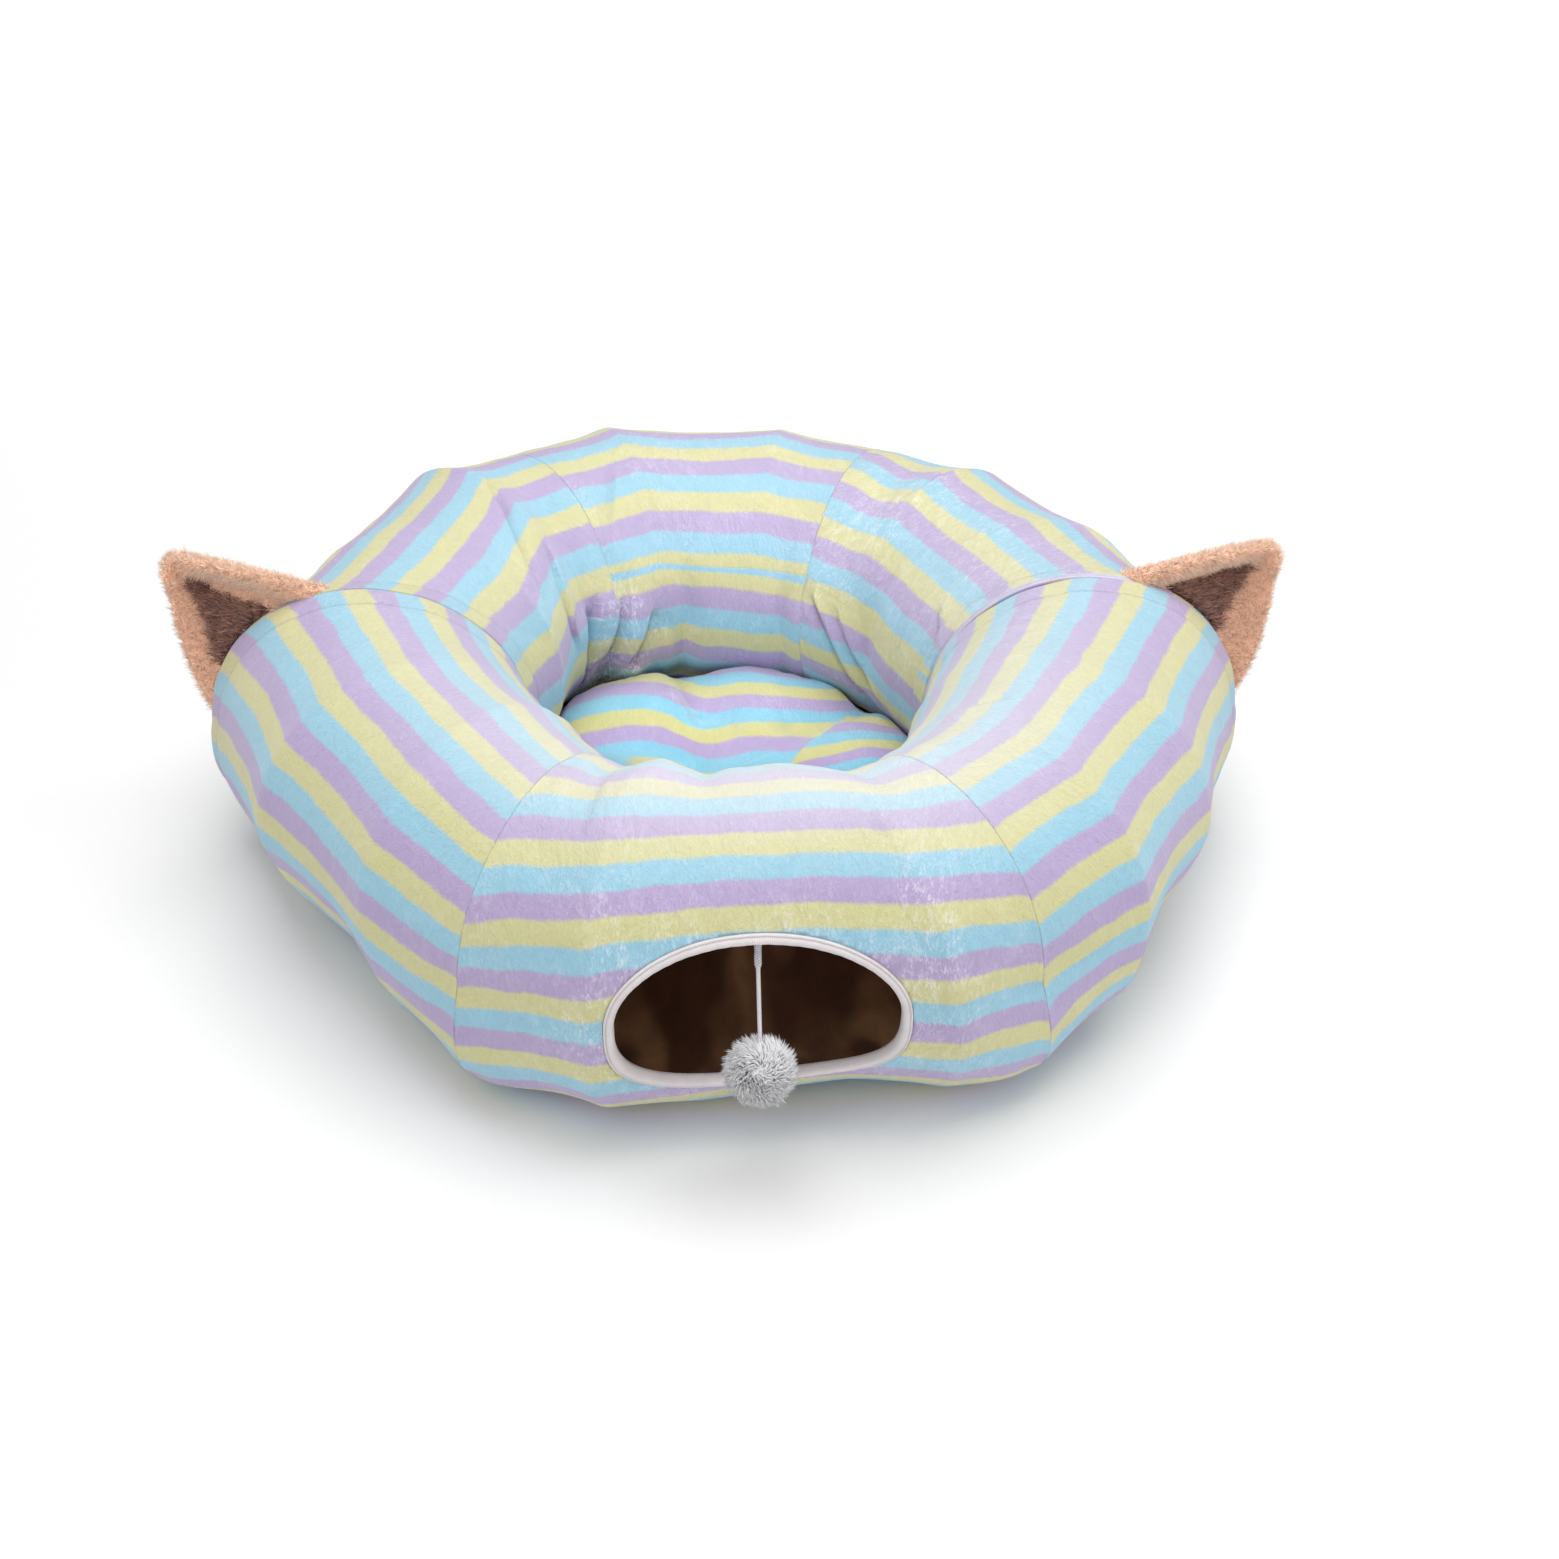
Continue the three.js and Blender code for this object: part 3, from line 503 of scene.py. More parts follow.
class Graph:
    """Adds nodes to one shader tree."""

    def __init__(self, tree: NodeTree) -> None:
        """Keep the tree."""
        self.tree = tree

    def node(self, kind: str, **settings: object) -> Node:
        """Add a node of a kind and set its properties.

        Args:
            kind: the node's type.
            settings: its properties.

        Returns:
            The node.
        """
        made = self.tree.nodes.new(kind)
        for name, value in settings.items():
            setattr(made, name, value)
        return made

    def feed(self, target: NodeSocket, source: object) -> None:
        """Set a socket to a plain value, or link it to another socket.

        Args:
            target: the socket to set.
            source: a value, a socket, or None to leave it alone.
        """
        if isinstance(source, NodeSocket):
            self.tree.links.new(source, target)
        elif source is not None:
            target.default_value = source

    def math(self, operation: str, *values: object, clamp: bool = False) -> NodeSocket:
        """Result of an arithmetic step on sockets or numbers.

        Args:
            operation: the step's name.
            values: what it works on.
            clamp: whether the result stays from 0 to 1.

        Returns:
            The result.
        """
        made = self.node("ShaderNodeMath", operation=operation, use_clamp=clamp)
        for socket, value in zip(made.inputs, values):
            self.feed(socket, value)
        return made.outputs[0]

    def times(self, first: object, second: object) -> NodeSocket:
        """Product of two sockets or numbers."""
        return self.math("MULTIPLY", first, second)

    def plus(self, first: object, second: object) -> NodeSocket:
        """Sum of two sockets or numbers."""
        return self.math("ADD", first, second)

    def minus(self, first: object, second: object) -> NodeSocket:
        """What is left of the first after the second."""
        return self.math("SUBTRACT", first, second)

    def mix(self, share: object, first: object, second: object) -> NodeSocket:
        """Blend of two colours.

        Args:
            share: how much of the second.
            first: a colour.
            second: another colour.

        Returns:
            The blend.
        """
        made = self.node("ShaderNodeMix", data_type="RGBA", blend_type="MIX")
        self.feed(made.inputs[0], share)
        self.feed(made.inputs[6], first)
        self.feed(made.inputs[7], second)
        return made.outputs[2]

    def rise(self, value: object, low: float, high: float, start: float = 0.0,
             end: float = 1.0) -> NodeSocket:
        """Eased change from start to end while the value goes from low to high.

        Args:
            value: what rises.
            low: where it starts to count.
            high: where it stops.
            start: result up to low.
            end: result from high on.

        Returns:
            The result.
        """
        made = self.node("ShaderNodeMapRange", interpolation_type="SMOOTHSTEP")
        for socket, number in zip(made.inputs, (value, low, high, start, end)):
            self.feed(socket, number)
        return made.outputs[0]

    def noise(self, vector: object, scale: object, detail: float = 2.0, rough: float = 0.5,
              bend: float = 0.0) -> NodeSocket:
        """Noise from 0 to 1 at a place.

        Args:
            vector: the place.
            scale: swells a metre, or a unit of the place.
            detail: finer layers.
            rough: how strong they are.
            bend: how far the swells are bent.

        Returns:
            The noise.
        """
        made = self.node("ShaderNodeTexNoise")
        self.feed(made.inputs["Vector"], vector)
        self.feed(made.inputs["Scale"], scale)
        made.inputs["Detail"].default_value = detail
        made.inputs["Roughness"].default_value = rough
        made.inputs["Distortion"].default_value = bend
        return made.outputs[0]

    def stretched(self, vector: object, scale: tuple[float, float, float]) -> NodeSocket:
        """A place scaled along each axis.

        Args:
            vector: the place.
            scale: factors for x, y and z.

        Returns:
            The scaled place.
        """
        made = self.node("ShaderNodeMapping")
        self.feed(made.inputs["Vector"], vector)
        made.inputs["Scale"].default_value = scale
        return made.outputs[0]

    def scaled(self, colour: object, factor: object) -> NodeSocket:
        """A colour made lighter or darker by a factor.

        Args:
            colour: the colour.
            factor: what it is multiplied by.

        Returns:
            The result.
        """
        made = self.node("ShaderNodeVectorMath", operation="SCALE")
        self.feed(made.inputs[0], colour)
        self.feed(made.inputs["Scale"], factor)
        return made.outputs[0]

    def place(self) -> NodeSocket:
        """The place on the object itself."""
        return self.node("ShaderNodeTexCoord").outputs["Object"]

    def cloth(self) -> NodeSocket:
        """The place on the flat cloth, from the mesh's map."""
        return self.node("ShaderNodeUVMap", uv_map="cloth").outputs[0]

    def number(self, name: str) -> NodeSocket:
        """A number stored on the mesh."""
        return self.node("ShaderNodeAttribute", attribute_name=name).outputs["Fac"]

    def group(self, tree: NodeTree, **values: object) -> Node:
        """Place a shared group and feed its inputs, whose spaces are written as underscores.

        Args:
            tree: the group.
            values: what feeds each input.

        Returns:
            The placed group.
        """
        made = self.node("ShaderNodeGroup", node_tree=tree)
        for name, value in values.items():
            self.feed(made.inputs[name.replace("_", " ")], value)
        return made


class Effect:
    """A shader group that several finishes share."""

    title = "effect"
    inputs: tuple[tuple[str, str, object], ...] = ()
    outputs: tuple[tuple[str, str], ...] = ()

    @classmethod
    def tree(cls) -> NodeTree:
        """The group's tree, made at its first use.

        Returns:
            The tree.
        """
        found = bpy.data.node_groups.get(cls.title)
        if found:
            return found
        made = bpy.data.node_groups.new(cls.title, "ShaderNodeTree")
        for name, kind, value in cls.inputs:
            socket = made.interface.new_socket(name=name, in_out="INPUT", socket_type=kind)
            if value is not None:
                socket.default_value = value
        for name, kind in cls.outputs:
            made.interface.new_socket(name=name, in_out="OUTPUT", socket_type=kind)
        graph = Graph(made)
        source, sink = graph.node("NodeGroupInput"), graph.node("NodeGroupOutput")
        results = cls.build(graph, {socket.name: socket for socket in source.outputs if socket.name})
        for name, value in results.items():
            graph.feed(sink.inputs[name], value)
        return made

    @classmethod
    def build(cls, graph: Graph, given: dict[str, NodeSocket]) -> dict[str, object]:
        """Lay the group's nodes and return what feeds each output."""
        raise NotImplementedError


COLOUR, NUMBER, PLACE = "NodeSocketColor", "NodeSocketFloat", "NodeSocketVector"


class StripeBands(Effect):
    """Three even bands of dyed plush, with the slightly ragged border that its pile gives them."""

    title = "stripe bands"
    inputs = (("Coordinate", NUMBER, 0.0), ("Place", PLACE, None), ("Period", NUMBER, 51.0),
              ("First", COLOUR, (1, 1, 1, 1)), ("Second", COLOUR, (1, 1, 1, 1)),
              ("Third", COLOUR, (1, 1, 1, 1)))
    outputs = (("Colour", COLOUR),)

    @classmethod
    def build(cls, graph: Graph, given: dict[str, NodeSocket]) -> dict[str, object]:
        """Lay the group's nodes.

        Args:
            graph: the group's graph.
            given: its inputs by name.

        Returns:
            What feeds each output.
        """
        ragged = graph.minus(graph.noise(given["Place"], 520.0, 3.0, 0.65), 0.5)
        drawn = graph.minus(graph.noise(given["Place"], 30.0, 2.0), 0.5)
        moved = graph.plus(given["Coordinate"],
                           graph.plus(graph.times(ragged, 3.6),
                                      graph.times(drawn, 6.0)))
        phase = graph.math("FRACT", graph.math("DIVIDE", moved, given["Period"]))
        soft, third = 0.034, 1.0 / 3.0
        colour = graph.mix(graph.rise(phase, -soft, soft), given["Third"], given["First"])
        colour = graph.mix(graph.rise(phase, third - soft, third + soft), colour, given["Second"])
        colour = graph.mix(graph.rise(phase, 2 * third - soft, 2 * third + soft), colour, given["Third"])
        colour = graph.mix(graph.rise(phase, 1 - soft, 1 + soft), colour, given["First"])
        return {"Colour": colour}


class BrushedPile(Effect):
    """Short pile brushed in streaks: its tone, its height and a mask of tufts for a painted highlight."""

    title = "brushed pile"
    inputs = (("Place", PLACE, None), ("Cloth", PLACE, None), ("Worn", NUMBER, 0.5),
              ("Unevenness", NUMBER, 1.0))
    outputs = (("Tone", NUMBER), ("Height", NUMBER), ("Tufts", NUMBER))

    @classmethod
    def build(cls, graph: Graph, given: dict[str, NodeSocket]) -> dict[str, object]:
        """Lay the group's nodes.

        Args:
            graph: the group's graph.
            given: its inputs by name.

        Returns:
            What feeds each output.
        """
        place, brushed_sheen = given["Place"], given["Worn"]
        fibres = graph.noise(place, 900.0, 3.0, 0.7)
        lying = graph.noise(graph.stretched(given["Cloth"], (520.0, 230.0, 380.0)), 1.0, 3.0, 0.62, 1.3)
        locks = graph.noise(graph.stretched(given["Cloth"], (150.0, 75.0, 110.0)), 1.0, 3.0, 0.6, 1.1)
        patches = graph.noise(place, 17.0, 3.0, 0.55, 0.5)
        raised = graph.plus(graph.times(lying, 0.62), graph.times(locks, 0.38))
        # Tufts: mask of brushed pile; the plush paints a near-white highlight on it and makes it glossier.
        tufts = graph.times(graph.rise(raised, 0.47, 0.66),
                           graph.rise(graph.plus(patches, graph.times(brushed_sheen, 0.3)), 0.5, 0.82))
        tufts = graph.times(tufts, brushed_sheen)
        uneven = graph.times(given["Unevenness"], graph.rise(brushed_sheen, 0.0, 1.0, 0.7, 1.3))
        parts = ((fibres, 0.15), (lying, 0.2), (locks, 0.16), (patches, 0.08))
        tone: object = 0.0
        for part, share in parts:
            tone = graph.plus(tone, graph.times(graph.minus(part, 0.5), share))
        tone = graph.plus(1.0, graph.times(uneven, tone))
        height = graph.plus(graph.times(fibres, 0.3),
                            graph.plus(graph.times(lying, 0.75),
                                       graph.times(locks, 1.2)))
        return {"Tone": tone, "Height": height, "Tufts": tufts}


class StitchRun(Effect):
    """One run of machine stitches: the thread's dashes, the groove that they pull and the painted shade in
    it.
    """

    title = "stitch run"
    inputs = (("Distance", NUMBER, 0.0), ("Along", NUMBER, 0.0), ("Pitch", NUMBER, 3.2),
              ("Width", NUMBER, 0.5), ("Groove", NUMBER, 1.6))
    outputs = (("Height", NUMBER), ("Shadow", NUMBER))

    @classmethod
    def build(cls, graph: Graph, given: dict[str, NodeSocket]) -> dict[str, object]:
        """Lay the group's nodes.

        Args:
            graph: the group's graph.
            given: its inputs by name.

        Returns:
            What feeds each output.
        """
        away = graph.math("ABSOLUTE", given["Distance"])
        near = graph.math("LESS_THAN", away, given["Width"])
        beat = graph.math("FRACT", graph.math("DIVIDE", given["Along"], given["Pitch"]))
        dash = graph.times(near, graph.math("LESS_THAN", beat, 0.72))
        share = graph.math("DIVIDE", away, given["Groove"])
        hollow = graph.math("SUBTRACT", 1.0, share, clamp=True)
        hollow = graph.times(hollow, hollow)
        height = graph.minus(graph.times(dash, 0.3), hollow)
        return {"Height": height, "Shadow": hollow}


def finish_surface(name: str) -> tuple[Material, Graph, Node]:
    """Start a material.

    Args:
        name: the finish's name.

    Returns:
        The material, its graph and its surface shader.
    """
    material = bpy.data.materials.new(name)
    material.use_nodes = True
    graph = Graph(material.node_tree)
    return material, graph, material.node_tree.nodes["Principled BSDF"]


def raise_surface(graph: Graph, surface: Node, height: object, distance: float) -> None:
    """Give a surface fine relief.

    Args:
        graph: the material's graph.
        surface: its surface shader.
        height: the socket that gives the relief.
        distance: metres that a height of 1 stands for.
    """
    relief = graph.node("ShaderNodeBump")
    relief.inputs["Distance"].default_value = distance
    relief.inputs["Strength"].default_value = 1.0
    graph.feed(relief.inputs["Height"], height)
    graph.feed(surface.inputs["Normal"], relief.outputs[0])


def set_constants(surface: Node, **values: object) -> None:
    """Set plain numbers or colours on a surface shader, with spaces written as underscores."""
    for name, value in values.items():
        surface.inputs[name.replace("_", " ")].default_value = value


@dataclass(frozen=True)
class PlushFinish:
    """Short brushed plush in pastel bands."""

    cyan: str = "A0D0E4"
    yellow: str = "D9D5A0"
    lilac: str = "BCABD2"
    period: float = 51.0
    hem_width: float = 20.0
    hem_shift: float = -2.4
    # Painted highlight over the tube's top: how strongly it is mixed in, and its colour.
    pale: float = 0.54
    top_highlight_colour: Row = (0.9, 0.91, 0.93, 1.0)
    # Brushed tufts, partly real pile and partly a painted highlight: how strongly the highlight is mixed in,
    # and its colour.
    highlit_tufts: float = 0.64
    tuft_highlight_colour: Row = (0.9, 0.9, 0.94, 1.0)
    on_tube: bool = True

    def build(self, name: str) -> Material:
        """Make the material, which reads the stripe, seam and hem distances from its mesh.

        Args:
            name: the finish's name.

        Returns:
            The material.
        """
        material, graph, surface = finish_surface(name)
        place = graph.place()
        cloth = graph.cloth()
        beyond = graph.math("GREATER_THAN", graph.number("well_seam"), 0.0)
        stripe = graph.plus(graph.number("stripe"), graph.times(beyond, graph.number("shift")))
        # Painted shade: the crease value darkens the cloth in its creases and where it folds under beside the
        # cushion.
        folded = graph.number("crease")
        pile = graph.group(BrushedPile.tree(), Place=place, Cloth=cloth, Worn=graph.number("brushed_sheen"))
        height = pile.outputs["Height"]
        dark: object = graph.times(folded, 0.2)
        if self.on_tube:
            hem, seam, well = graph.number("hem"), graph.number("seam"), graph.number("well_seam")
            in_hem = graph.math("LESS_THAN", hem, self.hem_width)
            stripe = graph.plus(stripe, graph.times(in_hem, self.hem_shift))
            split = graph.node("ShaderNodeSeparateXYZ")
            graph.feed(split.inputs[0], cloth)
            across, along = (graph.times(split.outputs[k], 1000.0) for k in (0, 1))
            hemming = graph.group(StitchRun.tree(), Distance=graph.minus(hem, self.hem_width),
                                  Along=along, Groove=1.8)
            joining = graph.group(StitchRun.tree(), Distance=seam, Along=along, Width=0.0, Groove=1.8)
            closing = graph.group(StitchRun.tree(), Distance=well, Along=across, Width=0.0, Groove=1.1)
            for run, depth in ((hemming, 0.5), (joining, 0.2), (closing, 0.25)):
                height = graph.plus(height, graph.times(run.outputs["Height"], depth))
            # Painted shade in the stitch grooves, and the hem band a little darker.
            for part, share in ((in_hem, 0.03), (hemming.outputs["Shadow"], 0.06),
                                (closing.outputs["Shadow"], 0.02), (joining.outputs["Shadow"], 0.02)):
                dark = graph.plus(dark, graph.times(part, share))
        bands = graph.group(StripeBands.tree(), Coordinate=stripe, Place=place, Period=self.period,
                            First=shade(self.cyan), Second=shade(self.yellow), Third=shade(self.lilac))
        toned = graph.scaled(bands.outputs[0], graph.minus(pile.outputs["Tone"], dark))
        # Painted highlight on the brushed tufts, mixed towards a near-white colour.
        lit = graph.mix(graph.times(pile.outputs["Tufts"], self.highlit_tufts), toned, self.tuft_highlight_colour)
        # Painted highlight: the tube's top is mixed towards a near-white colour.
        lit = graph.mix(graph.times(graph.number("top_highlight"), self.pale), lit, self.top_highlight_colour)
        graph.feed(surface.inputs["Base Color"], lit)
        graph.feed(surface.inputs["Roughness"], graph.minus(0.95, graph.times(pile.outputs["Tufts"], 0.2)))
        set_constants(surface, Sheen_Weight=0.45, Sheen_Roughness=0.45,
                      Sheen_Tint=(0.95, 0.97, 1.0, 1.0), Specular_IOR_Level=0.2)
        raise_surface(graph, surface, height, 0.0010)
        return material


@dataclass(frozen=True)
class LiningFinish:
    """Dark brown crisp lining with soft paler patches painted where the light comes through, and a painted
    glow.
    """

    colour: str = "5A3826"
    pale: str = "9C7450"
    glow: float = 0.1

    def build(self, name: str) -> Material:
        """Make the material, with a faint painted glow where light comes through the cloth.

        Args:
            name: the finish's name.

        Returns:
            The material.
        """
        material, graph, surface = finish_surface(name)
        place = graph.place()
        patches = graph.noise(graph.stretched(place, (1.7, 1.0, 0.6)), 9.0, 1.0, 0.5, 1.2)
        crumple = graph.noise(graph.stretched(place, (1.6, 1.0, 0.5)), 26.0, 2.0, 0.5, 0.8)
        weave = graph.noise(place, 1400.0, 2.0, 0.7)
        # Painted light: paler patches where light comes through the cloth.
        lit = graph.rise(patches, 0.4, 0.68)
        base = graph.mix(lit, shade(self.colour), shade(self.pale))
        base = graph.mix(graph.rise(crumple, 0.3, 0.7, 0.0, 0.3), base, shade("2B1A10"))
        graph.feed(surface.inputs["Base Color"], base)
        # Painted glow: the lining emits its own colour, as light coming through the cloth.
        graph.feed(surface.inputs["Emission Color"], base)
        graph.feed(surface.inputs["Roughness"], graph.rise(crumple, 0.3, 0.7, 0.5, 0.75))
        set_constants(surface, Sheen_Weight=0.15, Specular_IOR_Level=0.4, Emission_Strength=self.glow)
        raise_surface(graph, surface, graph.plus(crumple, graph.times(weave, 0.1)), 0.004)
        return material


@dataclass(frozen=True)
class TapeFinish:
    """Close woven tape, ribbed across its length."""

    colour: str
    rib: float = 0.9
    sheen: float = 0.1
    dirt: float = 0.06

    def build(self, name: str) -> Material:
        """Make the material, which reads the tape's own map and its groove distance from its mesh.

        Args:
            name: the finish's name.

        Returns:
            The material.
        """
        material, graph, surface = finish_surface(name)
        place = graph.place()
        cloth = graph.cloth()
        split = graph.node("ShaderNodeSeparateXYZ")
        graph.feed(split.inputs[0], cloth)
        along = graph.times(split.outputs[0], 2000.0 * math.pi / self.rib)
        ribs = graph.math("SINE", along)
        uneven = graph.noise(place, 60.0, 3.0, 0.6)
        fibres = graph.noise(place, 1500.0, 2.0, 0.7)
        tone = graph.plus(graph.rise(uneven, 0.25, 0.75, 1.0 - self.dirt, 1.0 + self.dirt / 2),
                          graph.times(graph.minus(fibres, 0.5), 0.1))
        run = graph.group(StitchRun.tree(), Distance=graph.number("groove"), Groove=1.0, Width=0.35,
                          Along=graph.times(split.outputs[0], 1000.0), Pitch=2.8)
        # Painted shade in the stitch groove.
        tone = graph.minus(tone, graph.times(run.outputs["Shadow"], 0.22))
        graph.feed(surface.inputs["Base Color"], graph.scaled(shade(self.colour)[:3], tone))
        graph.feed(surface.inputs["Roughness"], graph.rise(fibres, 0.3, 0.7, 0.72, 0.9))
        set_constants(surface, Sheen_Weight=self.sheen, Specular_IOR_Level=0.3)
        height = graph.plus(graph.times(ribs, 0.25),
                            graph.plus(graph.times(fibres, 0.5), run.outputs["Height"]))
        raise_surface(graph, surface, height, 0.0003)
        return material


@dataclass(frozen=True)
class FurFinish:
    """Fur or yarn whose strands each carry their own tone and a share along their length."""

    root: str
    tip: str
    spread: float = 0.18
    sheen: float = 0.4
    glow: float = 0.0

    def build(self, name: str) -> Material:
        """Make the material, which reads each strand's tone and reach from its mesh, with its painted glow,
        if any.

        Args:
            name: the finish's name.

        Returns:
            The material.
        """
        material, graph, surface = finish_surface(name)
        place = graph.place()
        pile = graph.group(BrushedPile.tree(), Place=place, Cloth=place, Unevenness=0.9)
        tone = graph.plus(pile.outputs["Tone"],
                          graph.times(graph.minus(graph.number("tone"), 0.5), 2.0 * self.spread))
        base = graph.mix(graph.number("reach"), shade(self.root), shade(self.tip))
        toned = graph.scaled(base, tone)
        graph.feed(surface.inputs["Base Color"], toned)
        # Painted glow: the strands emit their own colour, which lightens them beyond what the lamps give.
        graph.feed(surface.inputs["Emission Color"], toned)
        graph.feed(surface.inputs["Roughness"], graph.rise(pile.outputs["Tufts"], 0.0, 1.0, 0.9, 0.7))
        set_constants(surface, Sheen_Weight=self.sheen, Sheen_Roughness=0.4, Specular_IOR_Level=0.25,
                      Emission_Strength=self.glow)
        raise_surface(graph, surface, pile.outputs["Height"], 0.0006)
        return material


# Numbers on each panel corner: crease is painted shade, brushed_sheen marks brushed pile that gets a painted
# highlight, top_highlight a painted highlight.
PANEL_VALUES = ("stripe", "shift", "seam", "hem", "well_seam", "crease", "brushed_sheen", "top_highlight")
BENDS = ((1, 0), (2, 0), (1, 1), (2, 1), (0, 2), (3, 0), (0, 3), (1, 2), (2, 2), (4, 0), (3, 1))


@dataclass(frozen=True)
class PanelCut:
    """Where one mitred panel lies on the ring, and how its bands run.

    bands holds the band coordinate's rate and start, then how it bends: the factors of the products of
    powers in BENDS. lower holds the same for the well piece under the panel's lengthwise seam, as a jump,
    a slope, a tilt and a bow.
    """

    name: str
    start: float
    end: float
    bands: Row
    seen: Pair = (-250.0, 100.0)
    start_gap: float = 0.1
    end_gap: float = 0.1
    start_roll: float = 0.45
    end_roll: float = 0.45
    holed: bool = False
    brushed_sheen: float = 0.2
    well_seam: tuple[float, float, float] = (600.0, 0.0, 0.0)
    lower: tuple[float, float, float, float] = (0.0, 0.0, 0.0, 0.0)
    sliver: float = 0.0
    first_band: float = 0.33 * 51.0

    def middle(self) -> float:
        """The azimuth of the panel's middle."""
        return (self.start + self.end) / 2

    def across(self, points: Array) -> Array:
        """Distance of each point along the panel's chord."""
        turn = math.radians(self.middle())
        return points @ np.array([math.cos(turn), math.sin(turn), 0.0])

    def along(self, angle: Array) -> Array:
        """Length of cloth round the tube, from its top, at each tube angle.

        Args:
            angle: angles round the tube.

        Returns:
            Lengths in millimetres.
        """
        steps = np.linspace(-110.0, 270.0, 400)
        line = TUBE.point(self.middle(), steps, folded=False)
        length = run_length(line)
        return np.interp(angle, steps, length - np.interp(90.0, steps, length))

    def below_seam(self, across: Array, along: Array) -> Array:
        """Distance of each place below the lengthwise seam in the well, less than 0 above it.

        Args:
            across: distances along the panel's chord.
            along: lengths round the tube from its top.

        Returns:
            Distances in millimetres.
        """
        level, tilt, bow = self.well_seam
        s = across / 200.0
        return along - (level + tilt * s + bow * s * s)

    def band_coordinate(self, across: Array, along: Array) -> Array:
        """Where each place lies in the run of bands.

        Args:
            across: distances along the panel's chord.
            along: lengths round the tube from its top.

        Returns:
            Millimetres through the bands.
        """
        rate, begin, *bends = self.bands
        s, w = across / 200.0, np.clip(along, *self.seen) / 200.0
        value = along * rate + begin - self.first_band
        for factor, (i, j) in zip(bends, BENDS):
            value = value + factor * s ** i * w ** j
        return value

    def shift(self, across: Array, along: Array) -> Array:
        """How far the bands jump below the lengthwise seam at each place.

        Args:
            across: distances along the panel's chord.
            along: lengths round the tube from its top.

        Returns:
            Millimetres to add to the band coordinate.
        """
        under, s = self.below_seam(across, along), across / 200.0
        jump, slope, tilt, bow = self.lower
        return jump + slope * under + tilt * s + bow * s * s - self.sliver * bell(np.maximum(under, 0.0), 9.0)


